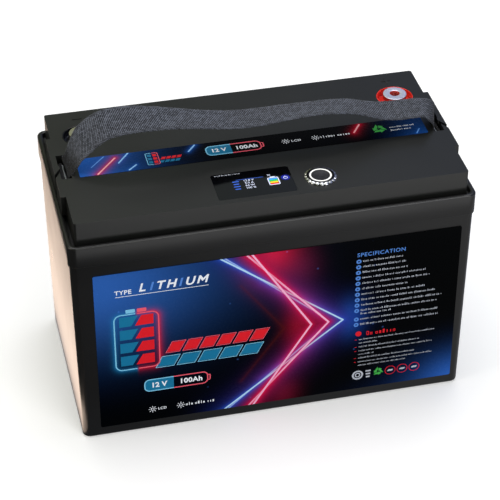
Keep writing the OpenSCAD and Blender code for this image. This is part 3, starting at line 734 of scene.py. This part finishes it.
def build_strap():
    """One length of webbing from slot to slot, with its yarns as real relief and a few loose fibres."""
    rod = build_rods()
    path = even_path(round_rod(-1, rod) + STRAP_PATH + round_rod(1, rod), ROW_STEP)
    rng = random.Random(11)
    ripple = [rng.uniform(-0.15, 0.15) for _ in range(len(path) // 8 + 3)]
    shades = [rng.random() for _ in range(997)]
    bm = bmesh.new()
    yarn_tone_and_painted_shade = bm.verts.layers.float.new("yarn_tone_and_painted_shade")
    rows = []
    for i, point in enumerate(path):
        before, after = path[max(0, i - 1)], path[min(len(path) - 1, i + 1)]
        sway = ripple[i // 8] * (1 - i % 8 / 8) + ripple[i // 8 + 1] * (i % 8 / 8)
        row = webbing_row(point, (after - before).normalized(), sway, i * ROW_STEP, shades, rng)
        rows.append([bm.verts.new(spot) for spot, shade in row])
        for vert, (spot, shade) in zip(rows[-1], row):
            vert[yarn_tone_and_painted_shade] = shade
    for lower, upper in zip(rows, rows[1:]):
        bridge(bm, lower, upper)
    bm.faces.new(rows[0])
    bm.faces.new(reversed(rows[-1]))
    add_fibres(bm, rows, yarn_tone_and_painted_shade, rng)
    follow_strap(finish_piece("strap_webbing", bm, webbing_material(), None,
                              node="strap_handle", sharp=180))


def webbing_row(point, tangent, sway, along, shades, rng):
    """(place, shade) pairs round the webbing's section at a point of its path: over it, then back below. The
    shade is darkened low over the lid, near the slots, as painted shade.
    """
    free = unit((point.y + 3) / 3)
    tilt, fan = math.radians(strap_tilt(point)) * free, strap_fan(point) * free
    half = STRAP_WIDTH / 2 * (0.88 + 0.12 * unit((point.y + 3) / 12)) + sway
    sine, cosine = math.sin(tilt), math.cos(tilt)
    rearward = Vector((fan / STRAP_WIDTH - tangent.y * sine, cosine, tangent.x * sine))
    normal = Vector((tangent.x, 0, tangent.y)).cross(rearward).normalized()
    row = []
    for face in (1, -1):
        for k in range(ACROSS_STEPS + 1):
            share = (k if face > 0 else ACROSS_STEPS - k) / ACROSS_STEPS
            edge_gap = min(share, 1 - share) * STRAP_WIDTH
            height, shade = weave_at(along, share * STRAP_WIDTH, edge_gap, shades)
            height = unit(height + rng.uniform(-0.15, 0.15))
            body = STRAP_THICK / 2 * (0.35 + 0.65 * math.sqrt(min(1.0, edge_gap / 1.6)))
            spot = Vector((point.x, 0, point.y)) + rearward * ((share - 0.5) * 2 * half)
            spot += normal * (face * (body + YARN_RELIEF * (height - 0.5)))
            # Painted shade: the webbing darkens where it runs low over the lid and down into the slots.
            dim = min(1, max(0.3, 0.3 + 0.7 * (spot.z - 1) / 13))
            row.append(((spot.x, spot.y, LID_TOP + spot.z), shade * dim))
    return row


def add_fibres(bm, rows, yarn_tone_and_painted_shade, rng):
    """Loose fibres that stand out of the webbing's faces and of its two edges."""
    thick, sunk, droop = 0.06, 0.15, Vector((0, 0, -0.2))
    for _ in range(4200):
        row = rows[rng.randrange(45, len(rows) - 45)]
        edge = rng.random() < 0.45
        k = rng.choice((0, 1, ACROSS_STEPS - 1, ACROSS_STEPS)) if edge else rng.randrange(ACROSS_STEPS)
        root = row[k].co.copy()
        middle = (row[0].co + row[ACROSS_STEPS].co) / 2
        outward = (root - middle).normalized() if edge else Vector((0, 0, 1))
        way = outward + Vector([rng.uniform(-0.9, 0.9) for _ in range(3)])
        length = rng.uniform(0.5, 1.5)
        side = way.cross(Vector((0.3, 0.5, 0.8))).normalized() * thick
        across = way.cross(side).normalized() * thick
        base = root - way.normalized() * sunk
        corners = [bm.verts.new(base + offset) for offset in (side, across - side, -across - side)]
        corners.append(bm.verts.new(root + way.normalized() * length + droop))
        for corner in corners:
            corner[yarn_tone_and_painted_shade] = 0.8
        for a, b, c in ((0, 1, 3), (1, 2, 3), (2, 0, 3), (2, 1, 0)):
            bm.faces.new((corners[a], corners[b], corners[c]))


# ---------------------------------------------------------------- printed graphics

def box_loop(u, v, width, height, radius=0.0, slant=0.0):
    """Outline of a rounded box centred at (u, v), leaning to the right by slant."""
    loop = []
    steps = 5
    for quarter, (su, sv) in enumerate(((1, 1), (-1, 1), (-1, -1), (1, -1))):
        for k in range(steps + 1 if radius else 1):
            angle = (quarter + k / steps) * math.pi / 2
            du = su * (width / 2 - radius) + radius * math.cos(angle)
            dv = sv * (height / 2 - radius) + radius * math.sin(angle)
            loop.append((u + du + slant * dv, v + dv))
    return loop


def disc_loop(u, v, radius):
    """Outline of a disc centred at (u, v)."""
    return [point[:2] for point in round_points(radius, 0, (u, v), 28)]


def half_pill(split, end, v, height, radius, inset=0.0):
    """Points of one half of a pill: straight at the split, rounded at the other end."""
    side = 1 if end > split else -1
    reach, half, r = end - side * inset, height / 2 - inset, radius - inset
    points = [(split, v + half)]
    steps = 6
    for k in range(2 * (steps + 1)):
        turn, corner = (k, 1) if k <= steps else (k - 1, -1)
        angle = math.pi / 2 - math.pi / 2 * turn / steps
        u = reach - side * r + side * r * math.cos(angle)
        points.append((u, v + corner * (half - r) + r * math.sin(angle)))
    return points + [(split, v - half)]


def letter_faces(text, height, weight, slant, spacing, align):
    """Faces of flat lettering in Blender's built-in typeface, each a list of (across, upwards) points."""
    curve = bpy.data.curves.new("words", "FONT")
    curve.body, curve.size, curve.shear = text, height / 0.7, slant
    curve.offset, curve.space_character, curve.align_x = weight, spacing, align
    curve.resolution_u = 3
    holder = add_object("words", curve)
    flat = bpy.data.meshes.new_from_object(holder)
    points = [(round(vert.co.x, 4), round(vert.co.y, 4)) for vert in flat.vertices]
    faces = [[points[i] for i in face.vertices] for face in flat.polygons]
    bpy.data.objects.remove(holder)
    bpy.data.meshes.remove(flat)
    bpy.data.curves.remove(curve)
    return faces


class Face:
    """A flat printed face. Places on it are across, up and out from its middle, in millimetres."""

    def __init__(self, slot, middle, up):
        self.slot, self.middle, self.up = slot, middle, up
        self.outward = ACROSS.cross(up).normalized()
        self.layers = []

    def place(self, u, v, w):
        return self.middle + ACROSS * u + self.up * v + self.outward * w

    def layer(self, name, ink_material, low=0.004, high=0.03):
        """A new printed layer, between two heights over the face."""
        self.layers.append(Layer(self.place, name, ink_material, low, high))
        return self.layers[-1]

    def finish(self):
        for layer in self.layers:
            finish_piece(layer.name, layer.bm, layer.ink_material)


class Layer:
    """Collects the shapes of one printed colour, which become one piece."""

    def __init__(self, place, name, ink_material, low, high):
        self.place, self.name, self.ink_material = place, name, ink_material
        self.low, self.high = low, high
        self.bm = bmesh.new()

    def loop(self, points, w):
        return [self.bm.verts.new(self.place(u, v, w)) for u, v in points]

    def fill(self, points):
        """A thin closed plate with the given outline."""
        bottom, top = self.loop(points, self.low), self.loop(points, self.high)
        bridge(self.bm, bottom, top)
        self.bm.faces.new(reversed(bottom))
        self.bm.faces.new(top)

    def frame(self, outer, inner):
        """A thin closed frame between two outlines with the same number of points."""
        rows = [self.loop(points, w) for points, w in (
            (outer, self.low), (outer, self.high), (inner, self.high), (inner, self.low))]
        for a, b in zip(rows, rows[1:] + rows[:1]):
            bridge(self.bm, a, b)

    def box(self, u, v, width, height, radius=0.0, slant=0.0):
        self.fill(box_loop(u, v, width, height, radius, slant))

    def outline(self, u, v, width, height, radius, line, slant=0.0):
        inner = max(0.05, radius - line) if radius else 0
        self.frame(box_loop(u, v, width, height, radius, slant),
                   box_loop(u, v, width - 2 * line, height - 2 * line, inner, slant))

    def half_rim(self, split, end, v, height, radius, line):
        """The outline of half a pill, open at the split."""
        inner = half_pill(split, end, v, height, radius, line)
        self.fill(half_pill(split, end, v, height, radius) + inner[::-1])

    def disc(self, u, v, radius):
        self.fill(disc_loop(u, v, radius))

    def circle(self, u, v, radius, line):
        self.frame(disc_loop(u, v, radius), disc_loop(u, v, radius - line))

    def words(self, text, u, v, height, weight=0.0, slant=0.0, spacing=1.0, align="LEFT"):
        """Generic lettering, as plates with walls along their open edges."""
        verts, edges = {}, {}

        def vert(point, w):
            if (point, w) not in verts:
                verts[point, w] = self.bm.verts.new(self.place(u + point[0], v + point[1], w))
            return verts[point, w]

        for face in letter_faces(text, height, weight, slant, spacing, align):
            for edge in zip(face, face[1:] + face[:1]):
                edges.setdefault(tuple(sorted(edge)), []).append(edge)
            if len(set(face)) == len(face):
                self.bm.faces.new([vert(point, self.low) for point in reversed(face)])
                self.bm.faces.new([vert(point, self.high) for point in face])
        for sides in edges.values():
            if len(sides) == 1:
                a, b = sides[0]
                wall = (a, self.low), (b, self.low), (b, self.high), (a, self.high)
                self.bm.faces.new([vert(*corner) for corner in wall])

    def small_print(self, u, v, length, height, rng):
        """One line of stand-in print: short blocks and rings in place of letters."""
        left, wide, gap = u, height * 0.7, height * 0.3
        while left < u + length:
            for _ in range(rng.randrange(2, 9)):
                if left > u + length:
                    break
                tall = height * rng.choice((0.85, 0.85, 1.0, 1.35))
                rise = v + (tall - height) / 2
                if rng.random() < 0.5:
                    self.outline(left + wide / 2, rise, wide, tall, 0, height * 0.2)
                else:
                    self.box(left + wide / 2, rise, wide * rng.choice((0.4, 0.8)), tall)
                left += wide + gap
            left += height * 0.6

    def sun(self, u, v):
        """A ring with eight short rays."""
        root, tip, half = 2.2, 3.4, 0.28
        self.circle(u, v, 1.5, 0.5)
        for k in range(8):
            c, s = math.cos(math.pi * k / 4), math.sin(math.pi * k / 4)
            corners = ((root, half), (tip, half), (tip, -half), (root, -half))
            self.fill([(u + r * c + side * s, v + r * s - side * c) for r, side in corners])

    def ring_of_arrows(self, u, v, size):
        """Three arrows that chase each other round a triangle."""
        arrow = [(0.64, -0.8), (0.64, 0.1), (0.84, 0.1), (0.45, 0.62)]
        arrow += [(0.06, 0.1), (0.26, 0.1), (0.26, -0.42)]
        for k in range(3):
            turn = math.radians(120 * k - 90)
            c, s = size * math.cos(turn), size * math.sin(turn)
            self.fill([(u + a * c - b * s, v + 0.15 * size + a * s + b * c) for a, b in arrow])


def glow_at(g, colour, place, centre, size, tint, strength=1.0):
    """Adds a soft round patch of light to a colour."""
    offset = g.vector("SUBTRACT", place, (centre[0], 0, centre[1]))
    distance = g.vector("LENGTH", g.vector("MULTIPLY", offset, (1 / size[0], 0, 1 / size[1])))
    fall = g.math("EXPONENT", g.times(g.times(distance, distance), -1.0))
    return g.mix(1.0, colour, g.tint(g.times(fall, strength, clamp=True), tint), "ADD")


def neon_line(g, colour, place, start, end, core, halo, width, spread, strength):
    """Lays a glowing line over a colour: a bright core and a halo that fades away from the segment."""
    a = Vector((start[0], 0, start[1]))
    span = Vector((end[0], 0, end[1])) - a
    offset = g.vector("SUBTRACT", place, tuple(a))
    along = g.math("DIVIDE", g.vector("DOT_PRODUCT", offset, tuple(span)), span.length_squared, clamp=True)
    foot = g.node("VectorMath", {0: tuple(span), "Scale": along}, operation="SCALE").outputs["Vector"]
    distance = g.vector("LENGTH", g.vector("SUBTRACT", offset, foot))
    colour = g.mix(g.times(g.fade(distance, spread), strength, clamp=True), colour, halo)
    if core is None:
        return colour
    return g.mix(g.ramp(distance, 1.0, 0.0, width * 0.45, width), colour, core)


def box_glow(g, colour, place, centre, size, radius, spread, strength, left, right):
    """Lays a glow along the outline of a rounded box over a colour, in a left and a right tint."""
    offset = g.vector("SUBTRACT", place, (centre[0], 0, centre[1]))
    inner = (size[0] / 2 - radius, 0, size[1] / 2 - radius)
    outside = g.vector("MAXIMUM", g.vector("SUBTRACT", g.vector("ABSOLUTE", offset), inner), (0, 0, 0))
    distance = g.math("ABSOLUTE", g.math("SUBTRACT", g.vector("LENGTH", outside), radius))
    tint = g.mix(g.ramp(g.split(offset)["X"], 0, 1, -1.0, 1.0), left, right)
    return g.mix(g.times(g.fade(distance, spread), strength, clamp=True), colour, tint)


def laminated(g, colour):
    """Finishes a printed face: the colour under a thin clear film with a faint ripple, with a faint glow of
    its own colour as painted light.
    """
    return g.set(Base_Color=colour, Roughness=g.ramp(g.noise(400, detail=4), 0.22, 0.32),
                 Specular_IOR_Level=0.04, Emission_Color=colour, Emission_Strength=0.18,
                 Normal=g.bump(g.noise(35, detail=2), 0.03))


MARK_CENTRE, MARK_SIZE = (-117.5, 8), (37, 58)
RIM_HEIGHTS = (0.012, 0.045)
# The label inks glow a little, as painted light.
TEAL = ink("teal_print", rgb(8, 124, 170), glow=0.1)
CYAN = ink("cyan_print", rgb(130, 205, 240), glow=0.2)
RED = ink("red_print", rgb(236, 18, 36), glow=0.15)
PINK = ink("pink_print", rgb(246, 92, 112), glow=0.2)
BLUE = ink("blue_print", rgb(84, 140, 226), glow=0.15)
GREY = ink("grey_print", rgb(204, 209, 222), glow=0.1)
GREEN = ink("green_print", rgb(70, 190, 80), glow=0.1)
LETTER_M = [(0, 0), (1.6, 0), (1.6, 4.6), (4, 1.7), (6.4, 4.6), (6.4, 0), (8, 0), (8, 7.6), (6.5, 7.6),
            (4, 4.5), (1.5, 7.6), (0, 7.6)]


def front_label_art(middle):
    """Night-blue print with neon chevrons. Places are in millimetres from the label's middle."""
    g = Graph("front_label_print")
    place = g.offset((middle.x, 0, middle.z), (1, 0, 1))
    split = g.split(place)
    folded = g.node("CombineXYZ", {
        "X": split["X"], "Z": g.math("ABSOLUTE", g.math("ADD", split["Z"], 0.9))}).outputs[0]
    colour = rgb(0, 1, 2)
    for patch in (
            ((-150, 66), (86, 54), rgb(44, 94, 174), 1.0), ((-8, 78), (18, 22), rgb(206, 16, 46), 1.0),
            ((16, 60), (14, 16), rgb(90, 18, 50), 0.6), ((17, 0), (11, 26), rgb(170, 10, 40), 0.6),
            ((4, -70), (12, 16), rgb(110, 12, 36), 0.7), ((60, 0), (11, 18), rgb(24, 78, 170), 0.7),
            ((160, -86), (36, 28), rgb(48, 104, 200), 1.0), ((118, -94), (46, 20), rgb(10, 28, 66), 0.9)):
        colour = glow_at(g, colour, place, *patch)
    sparkle = g.times(g.ramp(g.cells(60), 1.0, 0.0, 0.02, 0.07), 0.3)
    colour = g.mix(1.0, colour, g.tint(sparkle, rgb(70, 120, 210)), "ADD")
    pink, red, ice, blue = rgb(255, 186, 222), rgb(232, 18, 78), rgb(186, 226, 255), rgb(44, 96, 222)
    for line in (
            ((58, 0), (-50, 83), None, rgb(24, 52, 150), 0, 7.0, 0.75),
            ((35, 0), (-23, 80), None, rgb(150, 12, 50), 0, 6.5, 0.8),
            ((46, 0), (-16, 50), None, rgb(104, 44, 150), 0, 3.0, 0.5),
            ((4, 0), (-32, 50), None, rgb(96, 26, 12), 0, 1.6, 0.3),
            ((34, 9.5), (-45.6, 80.2), rgb(170, 196, 246), blue, 0.85, 1.3, 0.55),
            ((53.7, 0), (-50, 81), ice, blue, 0.95, 1.7, 0.8),
            ((41.5, 0), (-27.4, 80.2), pink, red, 1.05, 2.2, 0.95),
            ((27, 0), (-23, 80), pink, red, 1.05, 2.2, 0.95)):
        colour = neon_line(g, colour, folded, *line)
    teal, scarlet = rgb(30, 130, 190), rgb(226, 24, 56)
    return laminated(g, box_glow(g, colour, place, MARK_CENTRE, MARK_SIZE, 6, 1.7, 0.65, teal, scarlet))


def strip_label_art(middle):
    """Black strip with blue ends and slanted neon strokes."""
    g = Graph("strip_label_print")
    split = g.split(g.offset((*middle, 0), (1, 1, 0)))
    place = g.node("CombineXYZ", {"X": split["X"], "Z": split["Y"]}).outputs[0]
    sky, ice, blue = rgb(104, 160, 226), rgb(150, 205, 250), rgb(30, 96, 196)
    pink, red = rgb(255, 176, 184), rgb(214, 14, 50)
    colour = rgb(2, 2, 3)
    colour = glow_at(g, colour, place, (-146, 0), (50, 60), rgb(34, 88, 168))
    colour = glow_at(g, colour, place, (148, 0), (26, 60), rgb(20, 60, 120))
    for line in (
            ((-132.8, -1.4), (-121, 11.5), sky, blue, 0.55, 0.8, 0.6),
            ((-129.1, -12), (-112.4, 7.8), pink, red, 0.9, 2.2, 1.0),
            ((-110.5, 0), (-101, 12.5), ice, blue, 0.8, 1.3, 0.8),
            ((-103.9, -11.5), (-97.2, -5.4), ice, blue, 0.8, 1.3, 0.8),
            ((-53, 3.6), (-46.5, 11.8), ice, blue, 0.8, 1.6, 0.9),
            ((84.4, 0.6), (91.4, 11), pink, red, 0.9, 2.2, 1.0),
            ((134.2, -11.5), (138, -5.6), sky, blue, 0.5, 0.8, 0.6)):
        colour = neon_line(g, colour, place, *line)
    return laminated(g, colour)


def add_rating_pill(face, name, u, v, length, height, text):
    """A battery outline, half filled, with the voltage and the capacity in it."""
    line, radius = height * 0.075, height * 0.36
    left, right, split = u - length / 2, u + length / 2, u - length * 0.04
    face.layer(name + "_fill", TEAL).fill(half_pill(split, left, v, height, radius))
    face.layer(name + "_rim_left", CYAN, *RIM_HEIGHTS).half_rim(split, left, v, height, radius, line)
    pink = face.layer(name + "_rim_right", PINK, 0.008, 0.04)
    pink.half_rim(split, right, v, height, radius, line)
    pink.half_rim(right, right + height * 0.16, v, height * 0.5, height * 0.12, line)
    white = face.layer(name + "_text", WHITE_PRINT, 0.03, 0.06)
    white.words("12 V", (left + split) / 2, v - text / 2, text, text * 0.045, align="CENTER")
    white.words("100Ah", (split + right) / 2, v - text / 2, text, text * 0.045, spacing=1.05, align="CENTER")


def build_front_label():
    """The neon print, and the raised layers of graphics over it."""
    node = NODES["front_label"]
    low, high, (mid_x, _) = box("front_label")
    rows = [v.co / MM for v in node.data.vertices]
    foot = min(v.y for v in rows if v.z < low.z + 0.5)
    head = min(v.y for v in rows if v.z > high.z - 0.5)
    middle = Vector((mid_x, (head + foot) / 2, (low.z + high.z) / 2))
    dress(node, front_label_art(middle))
    face = Face("front_label", middle, Vector((0, head - foot, high.z - low.z)).normalized())
    add_title(face)
    add_charge_mark(face)
    add_rating_pill(face, "label_pill", -86.5, -40.8, 53.5, 13, 4.9)
    icons = face.layer("label_icons", WHITE_PRINT)
    icons.sun(-107, -67)
    icons.sun(-83.2, -67)
    icons.words("LCD", -102.5, -68.3, 2.5, 0.06, spacing=1.1)
    icons.small_print(-79, -67.2, 23, 2.2, random.Random(3))
    add_lists(face)
    face.finish()


def add_title(face):
    """The battery's type in slanted capitals, two of them blue, over a thin rule."""
    title, accent = face.layer("label_title", WHITE_PRINT), face.layer("label_title_accent", BLUE)
    title.words("TYPE", -134, 57.4, 4.0, 0.12, spacing=1.1)
    title.box(-96, 55.2, 75, 0.45)
    advance = {"I": 5.0, "U": 9.6, "M": 9.8}
    left, base = -116.5, 58.2
    for letter in "LITHIUM":
        step = advance.get(letter, 8.6)
        layer = accent if letter == "I" else title
        if letter == "M":
            layer.fill([(left + 0.6 + a + 0.25 * b, base + b) for a, b in LETTER_M])
        else:
            layer.words(letter, left + step / 2, base, 7.6, 0.3, slant=0.25, align="CENTER")
        left += step * 1.06


def add_charge_mark(face):
    """A neon battery standing upright, teal at the left and red at the right, and two rows of bars."""
    (u, v), (wide, tall) = MARK_CENTRE, MARK_SIZE
    line, gap, radius = 1.0, 1.5, 6
    teal, red = face.layer("label_mark_teal", TEAL), face.layer("label_mark_red", RED)
    cyan = face.layer("label_mark_rim", CYAN, *RIM_HEIGHTS)
    pink = face.layer("label_mark_pink", PINK, *RIM_HEIGHTS)
    for layer, side in ((cyan, -1), (pink, 1)):
        layer.half_rim(u + side * gap / 2, u + side * wide / 2, v, tall, radius, line)
        layer.box(u + side * 4.6, v + tall / 2 + 2.6, 7.6, 3.6, 0.8)
    half_bar, outer = 5.0, wide / 2 - 4.6
    lean = 0.55 * half_bar
    for k in range(4):
        level = v - tall / 2 + 9.8 + k * 13.5
        for layer, side in ((teal, -1), (red, 1)):
            inner_u, outer_u = u + side * gap, u + side * outer
            layer.fill([(inner_u - lean, level - half_bar), (outer_u, level - half_bar),
                        (outer_u, level + half_bar), (inner_u + lean, level + half_bar)])
    for fill, rim, count, pitch, left, level in (
            (red, pink, 6, 13.9, -93, -3.2), (teal, cyan, 5, 17.4, -101.5, -17.4)):
        for k in range(count):
            middle = left + (k + 0.5) * pitch
            fill.box(middle, level, pitch - 3.6, 9.4, slant=0.5)
            rim.outline(middle, level, pitch - 2.0, 11.4, 0.3, 0.55, slant=0.5)


def add_lists(face):
    """A heading, a list with ring bullets, a second list in grey and red, and a row of small marks."""
    rng = random.Random(7)
    blue, grey = face.layer("label_list_blue", BLUE), face.layer("label_list_grey", GREY)
    red, green = face.layer("label_list_red", RED), face.layer("label_rings_green", GREEN)
    blue.words("SPECIFICATION", 63.6, 61.8, 3.7, 0.07, spacing=1.12)
    for k, end in enumerate((102, 105, 106, 122, 126, 107, 123, 131, 137, 133.5, 134.5, 136)):
        v = 57 - k * 5.65 if k < 10 else -2.9 - (k - 10) * 5.7
        blue.circle(65.2, v, 2.1, 1.35)
        grey.small_print(68.6, v, end - 68.6, 1.35, rng)
    grey.small_print(68.6, 2.6, 26, 1.35, rng)
    red.small_print(74.5, -19.6, 24, 3.0, rng)
    red.disc(67.6, -18.6, 2.6)
    for v, length, marked in ((-24.9, 65, True), (-28.7, 15, False), (-32.9, 52, True), (-37.2, 63, True),
                              (-41, 13, False), (-45, 49, True), (-49.2, 64, True), (-53, 41, False)):
        grey.small_print(68.3, v, length, 1.05, rng)
        if marked:
            red.box(65.6, v, 1.8, 0.5)
    grey.circle(68.5, -63.8, 4.9, 1.5)
    grey.circle(68.5, -63.8, 2.4, 1.0)
    for k in range(3):
        grey.box(77.6, -60.6 - k * 3.2, 4.6 - k * 0.6, 1.6, 0.3)
    for u in (97, 107.5, 118):
        red.circle(u, -63.5, 4.7, 0.5)
        grey.box(u, -63.5, 4.6, 1.8, 0.7, slant=0.6)
    green.ring_of_arrows(86.4, -63.6, 4.8)


def build_strip_label():
    """The lid's strip: neon ends, a small charge mark, the rating pill, icons and stand-in print."""
    _, high, middle = box("strip_label")
    dress(NODES["strip_label"], strip_label_art(middle))
    face = Face("strip_label", Vector((*middle, high.z)), REARWARD)
    add_rating_pill(face, "strip_pill", -16.5, 0.4, 46, 13.5, 4.7)
    teal, red = face.layer("strip_mark_teal", TEAL), face.layer("strip_mark_red", RED)
    for name, rim_ink, side in (("strip_mark_cyan", CYAN, -1), ("strip_mark_pink", PINK, 1)):
        face.layer(name, rim_ink, *RIM_HEIGHTS).half_rim(-83 + side * 0.4, -83 + side * 5.2, 0, 17, 1.6, 0.6)
    for k in range(3):
        teal.box(-85.2, -4.8 + k * 4.8, 3.2, 3.4, 0.3)
        red.box(-80.8, -4.8 + k * 4.8, 3.2, 3.4, 0.3)
    for k in range(4):
        red.box(-74.4 + k * 4.3, -0.8, 3.4, 3.2, slant=0.5)
        teal.box(-76.2 + k * 4.3, -5.4, 3.4, 3.2, slant=0.5)
    white, rng = face.layer("strip_icons", WHITE_PRINT), random.Random(5)
    white.sun(26.8, 0.3)
    white.sun(51.7, 0.3)
    white.words("LCD", 31.4, -1.3, 2.7, 0.06, spacing=1.15)
    white.small_print(55.6, 0, 25, 2.2, rng)
    white.small_print(114.6, 1.4, 21, 1.3, rng)
    white.small_print(114.6, -3.1, 16, 1.3, rng)
    face.layer("strip_rings_green", GREEN).ring_of_arrows(105.6, 0.2, 6.6)
    face.finish()


# ---------------------------------------------------------------- display

def build_display():
    """Lit graphics just over the smoked window: generic readings, a charge symbol and a power symbol."""
    _, high, middle = box("display_window")
    face = Face("display_window", Vector((*middle, high.z)), REARWARD)

    def lit(name, colour, glow):
        return ink("lit_" + name, colour, glow=glow, roughness=0.1)

    white = face.layer("display_white", lit("white", rgb(205, 212, 235), 0.5), *RIM_HEIGHTS)
    blue = face.layer("display_blue", lit("blue", rgb(52, 92, 190), 0.45))
    deep = face.layer("display_power", lit("deep_blue", rgb(26, 34, 140), 0.5))
    face.layer("display_title", GREY).small_print(-28.4, 15.6, 20, 1.0, random.Random(9))
    white.outline(16.2, -0.6, 9.0, 10.4, 1.2, 0.9)
    white.box(16.2, 5.1, 4, 1.3, 0.3)
    white.words("25", 12.6, 7.4, 1.9, 0.03)
    for k, text in enumerate(("12.8 V", "5.0 A", "64 W", "100 %")):
        white.words(text, -3.2, 3.9 - k * 3.4, 2.3, 0.03, align="CENTER")
        blue.box(-13.6, 4.8 - k * 3.4, 5.4 - 0.8 * (k % 2), 1.3, 0.5)
    blue.box(-2, 6.9, 22, 0.5)
    deep.disc(26.2, 2.2, 3.5)
    white.circle(26.2, 2, 1.8, 0.5)
    white.box(26.2, 3.5, 0.6, 1.8)
    for k, stripe in enumerate((rgb(215, 30, 30), rgb(235, 200, 40), rgb(50, 190, 90), rgb(60, 150, 240))):
        bar = face.layer(f"display_charge_{k}", lit(f"charge_{k}", stripe, 0.6))
        bar.box(16.2, -4.2 + 2.2 * k, 6.6, 1.9, 0.2)
    face.finish()


# ---------------------------------------------------------------- stage

def build_stage():
    """Pale floor, soft studio light and the room round them."""
    reach = 6000
    bm = bmesh.new()
    bm.faces.new([bm.verts.new((x * reach, y * reach, 0)) for x, y in ((-1, -1), (1, -1), (1, 1), (-1, 1))])
    finish_piece("floor", bm, floor_material(), None)
    bpy.context.scene.world = studio_world()
    area_light("top", (0.15, 0.6, 2.1), 1.6, 20, (1.0, 0.99, 0.97))
    area_light("front", (0.7, -2.2, 1.6), 1.6, 30, (1.0, 0.98, 0.96))
    area_light("left", (-2.1, -0.2, 1.3), 1.3, 16, (1.0, 0.92, 0.84))


def floor_material():
    """Pale, and pure white far out. Reflections see it dim, bright in front and warm at the left."""
    g = Graph("floor")
    split = g.split(g.place())
    x, y = split["X"], split["Y"]
    near = g.mix(g.ramp(x, 0, 1, -0.2, 0.2), (0.04, 0.04, 0.04, 1), (0.4, 0.4, 0.4, 1))
    front = g.mix(g.ramp(y, 1, 0, -0.37, -0.31), near, (1.25, 1.25, 1.25, 1))
    seen = g.mix(g.ramp(y, 0, 1, -0.12, 0.05), front, (0.33, 0.36, 0.42, 1))
    seen = g.mix(g.ramp(x, 1, 0, -0.19, -0.167), seen, (0.05, 0.05, 0.05, 1))
    warm = g.times(g.ramp(x, 1.0, 0.45, -0.19, -0.166), g.ramp(x, 0, 1, -0.199, -0.185))
    warm = g.times(warm, g.math("LESS_THAN", x, -0.1645))
    warm = g.times(warm, g.ramp(y, 0, 1, -0.1, -0.09))
    seen = g.mix(warm, seen, (4.9, 3.8, 3.05, 1))
    path = g.node("LightPath").outputs
    camera = path["Is Camera Ray"]
    far = g.ramp(g.vector("LENGTH", g.place()), 0.22, 1.0, 0.45, 1.1)
    shade = g.mix(camera, (0.45, 0.45, 0.46, 1), (0.97, 0.97, 0.97, 1))
    diffuse = g.node("BsdfDiffuse", {"Color": shade}).outputs[0]
    lift = g.node("Emission", {"Color": (1, 1, 1, 1), "Strength": g.times(camera, far)}).outputs[0]
    pale = g.node("AddShader", {0: diffuse, 1: lift}).outputs[0]
    glow = g.node("Emission", {"Color": seen, "Strength": 1.0}).outputs[0]
    both = g.node("MixShader", {0: path["Is Glossy Ray"], 1: pale, 2: glow}).outputs[0]
    g.link(both, g.tree.nodes["Material Output"].inputs["Surface"])
    return g.owner


def studio_world():
    """White to the camera, and else a dim room: olive at the left, blue at the right, bright above."""
    g = Graph("studio", bpy.data.worlds)
    split = g.split(g.node("TexCoord").outputs["Generated"])
    walls = g.mix(g.ramp(split["X"], 0, 1, 0.08, 0.3), (0.2, 0.22, 0.13, 1), (0.17, 0.2, 0.32, 1))
    room = g.mix(g.ramp(split["Z"], 0, 1, 0.6, 0.95), walls, (0.6, 0.62, 0.66, 1))
    seen = g.mix(g.node("LightPath").outputs["Is Camera Ray"], room, (1, 1, 1, 1))
    g.link(seen, g.tree.nodes["Background"].inputs["Color"])
    return g.owner


def area_light(name, place, size, power, colour):
    """A square lamp that points at the object."""
    light = bpy.data.lights.new(name, "AREA")
    light.size, light.energy, light.color = size, power, colour
    lamp = add_object(name, light)
    lamp.location = place
    aim = Vector((0, 0, 0.1)) - Vector(place)
    lamp.rotation_euler = aim.to_track_quat("-Z", "Y").to_euler()


def build_camera():
    """The camera, in front of the battery and above it, a little to its left."""
    azimuth, elevation, distance = math.radians(-13.09), math.radians(36.49), 1.621
    target = Vector((-1.54 * MM, 0, 107.43 * MM))
    level = math.cos(elevation)
    back = Vector((math.sin(azimuth) * level, -math.cos(azimuth) * level, math.sin(elevation)))
    camera = add_object("camera", bpy.data.cameras.new("camera"))
    camera.data.lens = 138.4
    camera.data.sensor_width = 36
    camera.location = target + back * distance
    camera.rotation_euler = (-back).to_track_quat("-Z", "Y").to_euler()
    bpy.context.scene.camera = camera


dress_cad_nodes()
build_case()
soften_lid()
build_terminals()
build_button()
build_strap()
build_front_label()
build_strip_label()
build_display()
build_stage()
build_camera()
bpy.context.scene.view_settings.view_transform = "Standard"
